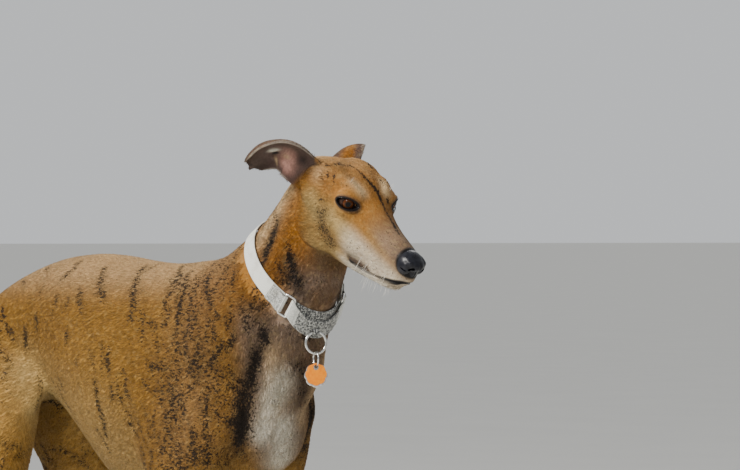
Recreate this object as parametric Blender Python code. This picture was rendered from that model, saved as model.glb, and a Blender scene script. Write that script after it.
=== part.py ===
"""A life-size greyhound in a plain standing pose, with its webbing collar and name tag, as a still museum
model.

While the body is modelled, x = 0 is under the withers, X points forward, Y to the dog's left, and Z up from
the floor. main() moves the finished pieces so that the origin lies under the middle of the model.
Run with: blender --background --python part.py
"""

import math

import bmesh
import bpy
import numpy as np
from mathutils import Matrix, Vector
from mathutils.bvhtree import BVHTree

# Driving dimensions, in metres
GAP = 0.0003
SKIN_VOXEL = 0.0024
BODY_VOXEL = 0.005
LIMB_VOXEL = 0.003
HEAD_VOXEL = 0.0018
HEAD_AT = Vector((0.343, 0.010, 0.780))
HEAD_PITCH = math.radians(28)
HEAD_TURN = math.radians(5)
HEAD = Matrix.Translation(HEAD_AT) @ Matrix.Rotation(HEAD_TURN, 4, "Z") @ Matrix.Rotation(HEAD_PITCH, 4, "Y")
RIGHT, LEFT = -1, 1
# Feet: x, y and size, and the sideways place and reach of each toe
FORE_FOOT = (0.049, 0.078, 1.0)
HIND_FOOT = (-0.566, 0.081, 0.94)
TOES = ((-0.0215, 0.0), (-0.0075, 0.010), (0.0075, 0.010), (0.0215, 0.0))
ZONE_TRIANGLES = {"body": 2700, "head": 1750, "feet": 1200}
# Eyes in the head's frame: eyeball, opening between the lids (length, rise, fall and how far it lies toward
# the nose), and how far outward lids and gaze point
EYE_AT = (-0.002, 0.0300, 0.0045)
EYE_RADIUS = 0.0118
EYE_OPENING = (0.0285, 0.0070, 0.0060, 0.0012)
LIDS_OUT = math.radians(50)
GAZE_OUT = math.radians(36)
# Line of the mouth in the head's frame: x, z and the direction it is looked for in, in degrees from straight
# ahead
MOUTH = [
    (0.028, -0.0615, 90),
    (0.045, -0.0612, 90),
    (0.060, -0.0600, 90),
    (0.072, -0.0582, 90),
    (0.084, -0.0558, 90),
    (0.093, -0.0530, 86),
    (0.096, -0.0505, 62),
    (0.096, -0.0480, 32),
    (0.096, -0.0470, 0),
]
MOUTH_GROOVE = 0.0011
# Ear stations in the head's frame: x, y, z of the back of the cup, width, how far the upper and the lower
# edge curl round in radians, thickness. The left ear is folded closer to the neck, so it is narrower too.
EAR = [
    (-0.0790, 0.0280, -0.0010, 0.042, 1.25, 1.20, 0.0030),
    (-0.0880, 0.0400, 0.0080, 0.050, 1.35, 1.15, 0.0028),
    (-0.1010, 0.0510, 0.0150, 0.053, 1.60, 1.05, 0.0024),
    (-0.1150, 0.0600, 0.0110, 0.048, 1.95, 0.95, 0.0022),
    (-0.1270, 0.0665, -0.0010, 0.037, 2.20, 0.95, 0.0021),
    (-0.1360, 0.0705, -0.0150, 0.023, 2.20, 1.00, 0.0019),
    (-0.1400, 0.0720, -0.0250, 0.011, 2.10, 1.05, 0.0016),
]
EAR_SPREAD = {RIGHT: 1.0, LEFT: 0.30}
EAR_WIDTH = {RIGHT: 1.0, LEFT: 0.72}
EAR_FACES = ((0.70, 0.66, 0.12), (0.42, 0.80, -0.38))
CLAW = 0.0032
# Collar: middle of the neck there, direction from the nape to the throat, and the webbing
COLLAR_AT = Vector((0.1985, 0.002, 0.7040))
COLLAR_DOWN = Vector((1.0, 0.0, -1.118)).normalized()
COLLAR_UP = Vector((1.118, 0.0, 1.0)).normalized()
WEB_WIDTH = 0.022
WEB_THICK = 0.0019
WEB_OFF_SKIN = 0.0012
SLIDE_TURN = math.radians(31)
STRAND_TURN = SLIDE_TURN - 0.090
SLIDE_LONG = 0.0130
SLIDE_WIDE = 0.0268
RING_TURN = math.radians(-15)
WIRE = 0.0015
RING_RADIUS = 0.0130
RING_SIDE = -0.004
TAG_RING = (0.0090, 0.0010)
TAG = (0.0150, 0.0018, 0.0021)

# Torso sections: x, top, bottom, height of the widest place, half width, how far the underside narrows
TORSO = [
    (-0.548, 0.622, 0.572, 0.600, 0.028, 0.0),
    (-0.520, 0.644, 0.545, 0.600, 0.050, 0.0),
    (-0.470, 0.670, 0.532, 0.610, 0.064, 0.0),
    (-0.420, 0.690, 0.530, 0.620, 0.069, 0.1),
    (-0.370, 0.705, 0.528, 0.630, 0.067, 0.2),
    (-0.320, 0.715, 0.508, 0.630, 0.069, 0.3),
    (-0.260, 0.720, 0.466, 0.620, 0.080, 0.4),
    (-0.200, 0.719, 0.424, 0.600, 0.093, 0.45),
    (-0.140, 0.713, 0.394, 0.580, 0.101, 0.5),
    (-0.080, 0.709, 0.378, 0.570, 0.101, 0.5),
    (-0.020, 0.710, 0.374, 0.565, 0.093, 0.5),
    (0.040, 0.714, 0.384, 0.560, 0.080, 0.45),
    (0.100, 0.700, 0.408, 0.550, 0.066, 0.4),
    (0.145, 0.655, 0.438, 0.540, 0.052, 0.3),
    (0.175, 0.600, 0.466, 0.530, 0.036, 0.1),
    (0.190, 0.550, 0.495, 0.522, 0.016, 0.0),
]
# Neck sections up to the skull: x, y, z of the middle, half width, depth to the nape, depth to the throat,
# narrowing
NECK = [
    (0.070, 0.000, 0.590, 0.078, 0.124, 0.124, 0.2),
    (0.1225, 0.000, 0.6225, 0.073, 0.119, 0.121, 0.2),
    (0.174, 0.001, 0.6735, 0.062, 0.090, 0.092, 0.2),
    (0.2115, 0.003, 0.714, 0.055, 0.072, 0.074, 0.2),
    (0.2425, 0.005, 0.755, 0.050, 0.060, 0.062, 0.2),
    (0.269, 0.007, 0.790, 0.046, 0.051, 0.054, 0.1),
    (0.300, 0.009, 0.806, 0.036, 0.034, 0.040, 0.0),
]
TAIL = [
    (-0.470, 0.0, 0.644, 0.030, 0.022, 0.026, 0.0),
    (-0.520, 0.0, 0.626, 0.024, 0.020, 0.022, 0.0),
    (-0.560, 0.0, 0.588, 0.019, 0.018, 0.018, 0.0),
    (-0.586, 0.0, 0.530, 0.0165, 0.016, 0.016, 0.0),
    (-0.602, 0.0, 0.450, 0.0145, 0.014, 0.014, 0.0),
    (-0.612, 0.0, 0.370, 0.0125, 0.012, 0.012, 0.0),
    (-0.620, 0.0, 0.300, 0.0105, 0.0105, 0.0105, 0.0),
    (-0.632, 0.0, 0.240, 0.0090, 0.0090, 0.0090, 0.0),
    (-0.656, 0.0, 0.196, 0.0078, 0.0078, 0.0078, 0.0),
    (-0.690, 0.0, 0.176, 0.0062, 0.0062, 0.0062, 0.0),
]
# Upper arm and thigh, which blend into the trunk: x, y, z, half width, depth to the front and to the back,
# narrowing
UPPER_ARM = [
    (0.112, 0.040, 0.580, 0.031, 0.046, 0.050, 0.0),
    (0.108, 0.045, 0.530, 0.033, 0.050, 0.060, 0.0),
    (0.092, 0.051, 0.488, 0.034, 0.050, 0.066, 0.0),
    (0.066, 0.060, 0.452, 0.032, 0.050, 0.064, 0.0),
    (0.038, 0.070, 0.420, 0.028, 0.042, 0.052, 0.0),
    (0.020, 0.076, 0.390, 0.026, 0.034, 0.040, 0.0),
    (0.016, 0.078, 0.355, 0.024, 0.030, 0.030, 0.0),
]
THIGH = [
    (-0.440, 0.030, 0.640, 0.034, 0.060, 0.075, 0.0),
    (-0.442, 0.040, 0.590, 0.044, 0.078, 0.096, 0.0),
    (-0.438, 0.050, 0.540, 0.047, 0.088, 0.100, 0.0),
    (-0.430, 0.058, 0.490, 0.045, 0.084, 0.092, 0.0),
    (-0.424, 0.066, 0.440, 0.040, 0.070, 0.078, 0.0),
    (-0.436, 0.072, 0.392, 0.034, 0.054, 0.062, 0.0),
    (-0.466, 0.077, 0.345, 0.028, 0.036, 0.042, 0.0),
    (-0.500, 0.080, 0.305, 0.022, 0.026, 0.030, 0.0),
]
# Lower limb sections, from inside the muscle down to the foot
FORELEG = [
    (0.024, 0.072, 0.430, 0.020, 0.028, 0.030, 0.0),
    (0.014, 0.077, 0.400, 0.0240, 0.033, 0.036, 0.0),
    (0.014, 0.079, 0.365, 0.0240, 0.030, 0.031, 0.0),
    (0.018, 0.079, 0.325, 0.0220, 0.0270, 0.0250, 0.0),
    (0.022, 0.078, 0.275, 0.0185, 0.0220, 0.0195, 0.0),
    (0.025, 0.077, 0.220, 0.0158, 0.0178, 0.0162, 0.0),
    (0.026, 0.076, 0.180, 0.0172, 0.0172, 0.0167, 0.0),
    (0.027, 0.076, 0.155, 0.0190, 0.0178, 0.0186, 0.0),
    (0.029, 0.076, 0.130, 0.0170, 0.0158, 0.0182, 0.0),
    (0.035, 0.076, 0.098, 0.0162, 0.0134, 0.0145, 0.0),
    (0.044, 0.077, 0.066, 0.0184, 0.0138, 0.0134, 0.0),
    (0.053, 0.078, 0.042, 0.0215, 0.0140, 0.0140, 0.0),
]
HINDLEG = [
    (-0.432, 0.070, 0.420, 0.030, 0.040, 0.045, 0.0),
    (-0.446, 0.076, 0.375, 0.0290, 0.042, 0.046, 0.0),
    (-0.476, 0.080, 0.332, 0.0245, 0.031, 0.036, 0.0),
    (-0.518, 0.081, 0.284, 0.0190, 0.022, 0.026, 0.0),
    (-0.556, 0.081, 0.246, 0.0172, 0.0190, 0.0220, 0.0),
    (-0.577, 0.081, 0.212, 0.0180, 0.0190, 0.0215, 0.0),
    (-0.584, 0.081, 0.175, 0.0160, 0.0157, 0.0172, 0.0),
    (-0.582, 0.081, 0.125, 0.0144, 0.0140, 0.0150, 0.0),
    (-0.574, 0.081, 0.080, 0.0154, 0.0132, 0.0138, 0.0),
    (-0.562, 0.081, 0.046, 0.0195, 0.0135, 0.0140, 0.0),
]
ACHILLES = [
    (-0.480, 0.079, 0.400, 0.020, 0.022, 0.022, 0.0),
    (-0.520, 0.080, 0.348, 0.0140, 0.0150, 0.0150, 0.0),
    (-0.562, 0.081, 0.300, 0.0092, 0.0098, 0.0098, 0.0),
    (-0.596, 0.081, 0.266, 0.0096, 0.0098, 0.0098, 0.0),
    (-0.600, 0.081, 0.236, 0.0122, 0.0142, 0.0142, 0.0),
]
# Muscles of the trunk: middle, half sizes, and tilt about Y in degrees. Each is made on both sides.
TRUNK_MASSES = [
    ((0.074, 0.040, 0.606), (0.046, 0.030, 0.106), -30),
    ((0.132, 0.040, 0.528), (0.042, 0.030, 0.046), 0),
    ((0.020, 0.056, 0.500), (0.066, 0.034, 0.084), 38),
    ((-0.030, 0.064, 0.545), (0.056, 0.028, 0.064), 30),
    ((0.148, 0.018, 0.505), (0.038, 0.026, 0.050), 0),
    ((-0.240, 0.026, 0.676), (0.150, 0.032, 0.036), 0),
    ((-0.370, 0.036, 0.648), (0.080, 0.030, 0.036), -12),
    ((-0.455, 0.040, 0.604), (0.080, 0.042, 0.050), -20),
    ((-0.475, 0.046, 0.540), (0.066, 0.040, 0.080), 0),
    ((-0.365, 0.052, 0.545), (0.050, 0.014, 0.040), 35),
    ((0.150, 0.030, 0.640), (0.075, 0.028, 0.042), -42),
]
LIMB_MASSES = [
    ((-0.008, 0.079, 0.398), (0.018, 0.014, 0.022), 0),
    ((0.028, 0.078, 0.335), (0.019, 0.019, 0.052), 0),
    ((-0.388, 0.070, 0.440), (0.032, 0.024, 0.044), 12),
    ((-0.386, 0.073, 0.414), (0.020, 0.021, 0.022), 0),
    ((-0.482, 0.078, 0.380), (0.024, 0.022, 0.052), 40),
    ((-0.556, 0.081, 0.282), (0.016, 0.0060, 0.046), 45),
    ((0.006, 0.076, 0.140), (0.0065, 0.0080, 0.0090), 0),
]
# Skull and muzzle sections in the head's own frame: x along the bridge of the nose from between the eyes
SKULL = [
    (-0.122, -0.004, -0.030, -0.016, 0.016, 0.0),
    (-0.110, 0.010, -0.045, -0.010, 0.031, 0.0),
    (-0.092, 0.0190, -0.056, -0.010, 0.0405, 0.0),
    (-0.065, 0.0280, -0.062, -0.012, 0.0455, 0.0),
    (-0.040, 0.0325, -0.064, -0.018, 0.0465, 0.0),
    (-0.018, 0.0310, -0.064, -0.023, 0.0450, 0.0),
    (0.002, 0.0235, -0.064, -0.026, 0.0410, 0.0),
    (0.020, 0.0130, -0.063, -0.029, 0.0355, 0.0),
    (0.040, 0.0045, -0.061, -0.031, 0.0300, 0.0),
    (0.062, -0.0015, -0.0585, -0.031, 0.0256, 0.0),
    (0.085, -0.0055, -0.0555, -0.031, 0.0215, 0.0),
    (0.101, -0.0088, -0.0525, -0.031, 0.0170, 0.0),
    (0.111, -0.0150, -0.0495, -0.033, 0.0115, 0.0),
    (0.116, -0.0230, -0.0450, -0.034, 0.0060, 0.0),
]
JAW = [
    (-0.066, -0.038, -0.070, -0.055, 0.024, 0.0),
    (-0.046, -0.038, -0.082, -0.060, 0.031, 0.1),
    (-0.015, -0.042, -0.0820, -0.060, 0.0295, 0.2),
    (0.018, -0.046, -0.0795, -0.060, 0.0250, 0.2),
    (0.050, -0.049, -0.0745, -0.060, 0.0202, 0.1),
    (0.076, -0.050, -0.0700, -0.058, 0.0150, 0.0),
    (0.092, -0.050, -0.0660, -0.056, 0.0110, 0.0),
    (0.102, -0.050, -0.0605, -0.055, 0.0062, 0.0),
]
# Head masses: middle, half sizes, tilt about Y and turn about Z in degrees, on both sides
SKULL_MASSES = [
    ((-0.026, 0.0385, -0.0190), (0.0440, 0.0080, 0.0120), 3, -14),
    ((-0.040, 0.0300, -0.0440), (0.0420, 0.0160, 0.0340), 0, -8),
    ((-0.056, 0.0240, 0.0110), (0.0400, 0.0180, 0.0200), -10, 0),
    ((-0.014, 0.0250, 0.0160), (0.0200, 0.0130, 0.0110), 20, -20),
    ((0.022, 0.0230, -0.0320), (0.0440, 0.0130, 0.0230), 0, -13),
]
FACE_MASSES = [
    ((-0.006, 0.0250, 0.0165), (0.0190, 0.0110, 0.0070), 14, -20),
    ((-0.0020, 0.0298, 0.0040), (0.0180, 0.0152, 0.0152), 0, -40),
    ((0.0040, 0.0290, -0.0080), (0.0180, 0.0110, 0.0120), 0, -38),
    ((0.068, 0.0130, -0.0480), (0.0400, 0.0088, 0.0115), 2, -7),
    ((0.092, 0.0092, -0.0420), (0.0175, 0.0088, 0.0125), 0, -12),
]


def along(rows, count):
    """The rows read at even steps along a smooth curve through them."""
    rows = np.array(rows, float)
    steps = np.linalg.norm(np.diff(rows[:, :3], axis=0), axis=1)
    at_row = np.concatenate([[0.0], np.cumsum(steps)])
    slopes = np.gradient(rows, at_row, axis=0)
    at = np.linspace(0, at_row[-1], count)
    k = np.clip(np.searchsorted(at_row, at, side="right") - 1, 0, len(rows) - 2)
    span = (at_row[k + 1] - at_row[k])[:, None]
    t = (at - at_row[k])[:, None] / span
    return (
        (1 + 2 * t) * (1 - t) ** 2 * rows[k]
        + t * (1 - t) ** 2 * span * slopes[k]
        + t * t * (3 - 2 * t) * rows[k + 1]
        + t * t * (t - 1) * span * slopes[k + 1]
    )


def new_object(name, mesh):
    obj = bpy.data.objects.new(name, mesh)
    bpy.context.scene.collection.objects.link(obj)
    return obj


def from_bmesh(name, bm):
    bmesh.ops.recalc_face_normals(bm, faces=bm.faces)
    mesh = bpy.data.meshes.new(name)
    bm.to_mesh(mesh)
    bm.free()
    return new_object(name, mesh)


def loft(name, rows, rings=40, sides=32, upright=False):
    """A closed body through sections. Rise is measured to the upper side of the path and drop to the lower
    side, which are the front and the back of a leg."""
    rows = along(rows, rings)
    tangents = np.gradient(rows[:, :3], axis=0)
    bm = bmesh.new()
    loops = []
    for (x, y, z, half, rise, drop, keel), tangent in zip(rows, tangents):
        ahead = Vector((1, 0, 0)) if upright else Vector(tangent).normalized()
        up = ahead.cross(Vector((0, 1, 0))).normalized()
        side = up.cross(ahead)
        loop = []
        for i in range(sides):
            angle = math.tau * i / sides
            c, s = math.cos(angle), math.sin(angle)
            width = half * (1 - keel * max(0.0, -s) ** 1.5)
            height = rise if s > 0 else drop
            loop.append(bm.verts.new(Vector((x, y, z)) + side * (width * c) + up * (height * s)))
        loops.append(loop)
    for first, second in zip(loops, loops[1:]):
        for i in range(sides):
            bm.faces.new((first[i], first[i - 1], second[i - 1], second[i]))
    bm.faces.new(loops[0])
    bm.faces.new(loops[-1])
    return from_bmesh(name, bm)


def profile_rows(table):
    """Rows for loft() from a table of x, top, bottom, height of the widest place, half width, narrowing."""
    rows = []
    for x, top, bottom, wide, half, keel in table:
        rows.append((x, 0.0, wide, half, top - wide, wide - bottom, keel))
    return rows


def on_side(rows, side):
    return [(row[0], row[1] * side, *row[2:]) for row in rows]


def mass(name, middle, radii, tilt=0.0, turn=0.0, side=LEFT, segments=24):
    """An ellipsoid, tilted about Y and turned about Z, on the given side of the body."""
    bm = bmesh.new()
    bmesh.ops.create_uvsphere(bm, u_segments=segments, v_segments=segments * 2 // 3, radius=1.0)
    x, y, z = middle
    place = (
        Matrix.Translation((x, y * side, z))
        @ Matrix.Rotation(math.radians(turn * side), 4, "Z")
        @ Matrix.Rotation(math.radians(tilt), 4, "Y")
        @ Matrix.Diagonal((*radii, 1.0))
    )
    bmesh.ops.transform(bm, matrix=place, verts=bm.verts)
    return from_bmesh(name, bm)


def evaluated_mesh(obj):
    graph = bpy.context.evaluated_depsgraph_get()
    return bpy.data.meshes.new_from_object(obj.evaluated_get(graph), depsgraph=graph)


def apply_modifiers(obj):
    mesh = evaluated_mesh(obj)
    obj.modifiers.clear()
    obj.data = mesh
    return obj


def join(name, pieces):
    bm = bmesh.new()
    for piece in pieces:
        bm.from_mesh(piece.data)
        bpy.data.objects.remove(piece)
    mesh = bpy.data.meshes.new(name)
    bm.to_mesh(mesh)
    bm.free()
    return new_object(name, mesh)


def fuse(name, pieces, voxel, passes):
    """The pieces as one smooth body: they are joined, remeshed to even squares, and smoothed."""
    body = join(name, pieces)
    remesh = body.modifiers.new("one_surface", "REMESH")
    remesh.mode = "VOXEL"
    remesh.voxel_size = voxel
    smooth = body.modifiers.new("blend", "SMOOTH")
    smooth.factor = 0.5
    smooth.iterations = passes
    return apply_modifiers(body)


def toe(side, foot_x, foot_y, offset, reach, radius):
    """One arched toe, from the instep over the knuckle to the tip."""
    y = foot_y + offset
    splay = offset * 0.16
    rows = [
        (foot_x + 0.000, foot_y + offset * 0.62, 0.0405, radius * 0.85, radius * 0.85, radius, 0.0),
        (foot_x + 0.016, foot_y + offset * 0.86, 0.0385, radius, radius * 0.95, radius, 0.0),
        (foot_x + 0.033, y, 0.0325, radius * 1.06, radius * 1.05, radius * 1.1, 0.0),
        (foot_x + 0.045 + reach, y + splay * 0.5, 0.0225, radius * 0.98, radius * 1.05, radius, 0.0),
        (foot_x + 0.054 + reach, y + splay, 0.0135, radius * 0.80, radius * 0.86, radius * 0.75, 0.0),
    ]
    return loft("toe", on_side(rows, side), rings=16, sides=16)


def paw(side, foot_x, foot_y, size=1.0):
    """Toes and pads of one foot, sunk a little below the floor so that the floor cut leaves flat pads."""
    pieces = []
    for offset, reach in TOES:
        pieces.append(toe(side, foot_x, foot_y, offset * size, reach, 0.0094 * size))
        pad = (foot_x + 0.045 + reach, foot_y + offset * size * 1.08, 0.0062)
        pieces.append(mass("toe_pad", pad, (0.0125, 0.0080 * size, 0.0080), side=side))
    heel = (foot_x + 0.0155, foot_y, 0.0090)
    pieces.append(mass("heel_pad", heel, (0.0155, 0.0180 * size, 0.0105), side=side))
    pieces.append(mass("heel", (foot_x + 0.007, foot_y, 0.0300), (0.0145, 0.0165 * size, 0.0190), side=side))
    sole = (foot_x + 0.028, foot_y, 0.0200)
    pieces.append(mass("sole", sole, (0.0310, 0.0250 * size, 0.0110), tilt=4, side=side))
    return pieces


def masses(table, side):
    """The ellipsoids of a table of middle, half sizes, tilt and, on the head, turn."""
    return [mass("mass", middle, radii, *angles, side=side) for middle, radii, *angles in table]


def trunk_form():
    pieces = [loft("trunk", profile_rows(TORSO), rings=70, sides=48, upright=True)]
    pieces.append(loft("neck_form", NECK, rings=40, sides=40))
    for side in (RIGHT, LEFT):
        pieces.append(loft("upper_arm", on_side(UPPER_ARM, side), rings=40, sides=32))
        pieces.append(loft("thigh_form", on_side(THIGH, side), rings=50, sides=32))
        pieces.extend(masses(TRUNK_MASSES, side))
    return fuse("trunk_form", pieces, BODY_VOXEL, 36)


def limb_forms():
    pieces = [loft("tail_form", TAIL, rings=60, sides=16)]
    for side in (RIGHT, LEFT):
        pieces.append(loft("foreleg_form", on_side(FORELEG, side), rings=60, sides=24))
        pieces.append(loft("hindleg_form", on_side(HINDLEG, side), rings=70, sides=24))
        pieces.append(loft("achilles", on_side(ACHILLES, side), rings=24, sides=16))
        pieces.extend(masses(LIMB_MASSES, side))
    return pieces


def body_form():
    return fuse("body_form", [trunk_form(), *limb_forms()], LIMB_VOXEL, 12)


def head_form():
    pieces = [
        loft("skull", profile_rows(SKULL), rings=60, sides=40, upright=True),
        loft("jaw", profile_rows(JAW), rings=40, sides=32, upright=True),
    ]
    for side in (RIGHT, LEFT):
        pieces.extend(masses(SKULL_MASSES, side))
    pieces = [fuse("skull_form", pieces, HEAD_VOXEL, 40)]
    for side in (RIGHT, LEFT):
        pieces.extend(masses(FACE_MASSES, side))
    head = fuse("head_form", pieces, HEAD_VOXEL, 14)
    head.data.transform(HEAD)
    return head


def whole_skin():
    """The body, head and feet as one skin."""
    pieces = [body_form(), head_form()]
    for side in (RIGHT, LEFT):
        pieces.extend(paw(side, *FORE_FOOT))
        pieces.extend(paw(side, *HIND_FOOT))
    return fuse("skin", pieces, SKIN_VOXEL, 4)


def clear_scene():
    for obj in list(bpy.data.objects):
        bpy.data.objects.remove(obj)


def zone_of(x, z):
    """The part of the body a place belongs to: the head, the feet or the rest."""
    if x > 0.262 and z > 0.685:
        return "head"
    return "feet" if z < 0.062 else "body"


def thin_out(obj, zone, triangles):
    """Fewer, larger triangles in one part of the body."""
    mesh = obj.data
    chosen = [zone_of(vert.co.x, vert.co.z) == zone for vert in mesh.vertices]
    group = obj.vertex_groups.new(name="thinned")
    group.add([i for i, pick in enumerate(chosen) if pick], 1.0, "REPLACE")
    sizes = [(len(face.vertices) - 2, all(chosen[v] for v in face.vertices)) for face in mesh.polygons]
    total = sum(size for size, _ in sizes)
    inside = sum(size for size, pick in sizes if pick)
    decimate = obj.modifiers.new("fewer", "DECIMATE")
    decimate.ratio = (total - inside + triangles) / total
    decimate.vertex_group = "thinned"
    decimate.use_collapse_triangulate = True
    apply_modifiers(obj)
    obj.vertex_groups.clear()
    return obj


def cut(obj, cutters):
    """The body less every cutter."""
    tool = join("cutters", cutters)
    tool.hide_render = True
    tool.display_type = "WIRE"
    boolean = obj.modifiers.new("cut", "BOOLEAN")
    boolean.operation = "DIFFERENCE"
    boolean.solver = "EXACT"
    boolean.object = tool
    apply_modifiers(obj)
    bpy.data.objects.remove(tool)
    return obj


def add_to(obj, pieces):
    """The body with the pieces fused on."""
    for piece in pieces:
        boolean = obj.modifiers.new("add", "BOOLEAN")
        boolean.operation = "UNION"
        boolean.solver = "EXACT"
        boolean.object = piece
        apply_modifiers(obj)
        bpy.data.objects.remove(piece)
    return obj


def to_head(obj):
    obj.data.transform(HEAD)
    return obj


def eyeball(name, side, grow=0.0, segments=12, rings=8):
    bm = bmesh.new()
    bmesh.ops.create_uvsphere(bm, u_segments=segments, v_segments=rings, radius=EYE_RADIUS + grow)
    x, y, z = EYE_AT
    place = (
        Matrix.Translation((x, y * side, z))
        @ Matrix.Rotation(GAZE_OUT * side, 4, "Z")
        @ Matrix.Rotation(math.pi / 2, 4, "Y")
    )
    bmesh.ops.transform(bm, matrix=place, verts=bm.verts)
    return to_head(from_bmesh(name, bm))


def lid_opening(side, near=0.0055, far=0.034, count=14):
    """An almond prism that opens the lids in front of the eyeball."""
    length, upper, lower, forward = EYE_OPENING
    outward = Vector((math.cos(LIDS_OUT), math.sin(LIDS_OUT) * side, 0.0))
    inward = Vector((math.sin(LIDS_OUT), -math.cos(LIDS_OUT) * side, 0.0))
    middle = Vector((EYE_AT[0], EYE_AT[1] * side, EYE_AT[2]))
    outline = []
    for i in range(count):
        angle = math.tau * i / count
        across = length / 2 * math.cos(angle) + forward
        height = (upper if math.sin(angle) > 0 else lower) * math.sin(angle)
        outline.append(middle + inward * across + Vector((0, 0, height * abs(math.sin(angle)) ** 0.25)))
    bm = bmesh.new()
    first = [bm.verts.new(point + outward * near) for point in outline]
    last = [bm.verts.new(point + outward * far) for point in outline]
    for i in range(count):
        bm.faces.new((first[i - 1], first[i], last[i], last[i - 1]))
    bm.faces.new(first)
    bm.faces.new(last)
    return to_head(from_bmesh("lid_opening", bm))


def tube(name, path, radius, sides=6, closed=False):
    """A round bar along a path of points."""
    path = [Vector(point) for point in path]
    count = len(path)
    bm = bmesh.new()
    loops = []
    up = Vector((0.0, 0.0, 1.0))
    for i, point in enumerate(path):
        before = path[i - 1] if closed or i else path[0]
        after = path[(i + 1) % count] if closed or i + 1 < count else path[-1]
        ahead = (after - before).normalized()
        across = ahead.cross(up)
        across = across.normalized() if across.length > 0.02 else ahead.orthogonal().normalized()
        up = across.cross(ahead).normalized()
        angles = [math.tau * k / sides for k in range(sides)]
        loops.append([
            bm.verts.new(point + (across * math.cos(angle) + up * math.sin(angle)) * radius)
            for angle in angles
        ])
    pairs = list(zip(loops, loops[1:])) + ([(loops[-1], loops[0])] if closed else [])
    for first, second in pairs:
        for k in range(sides):
            bm.faces.new((first[k - 1], first[k], second[k], second[k - 1]))
    if not closed:
        bm.faces.new(loops[0])
        bm.faces.new(loops[-1])
    return from_bmesh(name, bm)


def surface_tree(obj):
    mesh = obj.data
    return BVHTree.FromPolygons([v.co for v in mesh.vertices], [p.vertices for p in mesh.polygons])


def mouth_groove(skin):
    """A bar along the line of the mouth from corner to corner, half sunk in the skin."""
    tree = surface_tree(skin)
    right = []
    for x, z, angle in MOUTH:
        out = Vector((math.cos(math.radians(angle)), -math.sin(math.radians(angle)), 0.0))
        found = tree.ray_cast(HEAD @ Vector((x, 0.0, z)), HEAD.to_3x3() @ out)[0]
        right.append(HEAD.inverted() @ found)
    left = [Vector((point.x, -point.y, point.z)) for point in reversed(right[:-1])]
    return to_head(tube("mouth_groove", right + left, MOUTH_GROOVE, sides=5))


def nose():
    """The leather of the nose with its two nostrils."""
    pieces = [
        mass("leather", (0.1030, 0.0, -0.0210), (0.0170, 0.0150, 0.0125), 6),
        mass("leather", (0.1100, 0.0, -0.0180), (0.0120, 0.0125, 0.0085), 8),
        mass("leather", (0.1080, 0.0, -0.0300), (0.0100, 0.0095, 0.0120)),
    ]
    for side in (RIGHT, LEFT):
        pieces.append(mass("leather", (0.1020, 0.0098, -0.0255), (0.0150, 0.0078, 0.0130), 0, 10, side))
        pieces.append(mass("leather", (0.1060, 0.0085, -0.0170), (0.0125, 0.0078, 0.0080), 6, 6, side))
    leather = fuse("nose", pieces, 0.0009, 8)
    decimate = leather.modifiers.new("fewer", "DECIMATE")
    decimate.ratio = 340 / (2 * len(leather.data.polygons))
    decimate.use_collapse_triangulate = True
    apply_modifiers(leather)
    socket = new_object("nose_socket", leather.data.copy())
    for vert in socket.data.vertices:
        vert.co += vert.normal * GAP
    nostrils = []
    for side in (RIGHT, LEFT):
        nostrils.append(mass("nostril", (0.1180, 0.0070, -0.0225), (0.0062, 0.0034, 0.0036), 0, 22, side, 9))
        slit = (0.1100, 0.0148, -0.0275)
        nostrils.append(mass("nostril_slit", slit, (0.0085, 0.0046, 0.0013), 12, 38, side, 9))
    cut(leather, nostrils)
    return to_head(leather), to_head(socket)


def ear(name, side, grow=0.0, rings=11, arc=8):
    """A folded-back ear: a cup of skin that opens forward and outward and ends in a drooping tip."""
    rows = along(EAR, rings)
    root = EAR[0][1]
    path = [Vector((x, (root + (y - root) * EAR_SPREAD[side]) * side, z)) for x, y, z in rows[:, :3]]
    first_faces, last_faces = (Vector((x, y * side, z)) for x, y, z in EAR_FACES)
    bm = bmesh.new()
    loops = []
    for i, (point, (wide, upper, lower, thick)) in enumerate(zip(path, rows[:, 3:])):
        ahead = (path[min(i + 1, rings - 1)] - path[max(i - 1, 0)]).normalized()
        if i in (0, rings - 1):
            point = point + ahead * (grow if i else -grow)
        faces = first_faces.lerp(last_faces, i / (rings - 1))
        opening = (faces - ahead * faces.dot(ahead)).normalized()
        across = ahead.cross(opening)
        across = across if across.z > 0 else -across
        radius = wide * EAR_WIDTH[side] / 2
        centre = point + opening * radius
        loop = []
        for outer, order in ((True, 1), (False, -1)):
            for k in range(arc)[::order]:
                share = 2 * k / (arc - 1) - 1
                angle = (upper if share > 0 else lower) * share + math.copysign(grow / radius, share)
                thin = thick * (1 - 0.45 * abs(share) ** 3)
                far = radius + grow if outer else radius - thin - grow
                arm = across * math.sin(angle) - opening * math.cos(angle)
                loop.append(bm.verts.new(centre + arm * far))
        loops.append(loop)
    size = len(loops[0])
    for first, second in zip(loops, loops[1:]):
        for k in range(size):
            bm.faces.new((first[k - 1], first[k], second[k], second[k - 1]))
    for loop in (loops[0], loops[-1]):
        for k in range(arc - 1):
            bm.faces.new((loop[k], loop[k + 1], loop[size - 2 - k], loop[size - 1 - k]))
    return to_head(from_bmesh(name, bm))


def grown(rows, grow):
    return [(*row[:3], row[3] + grow, row[4] + grow, row[5] + grow, 0.0) for row in rows]


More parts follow.
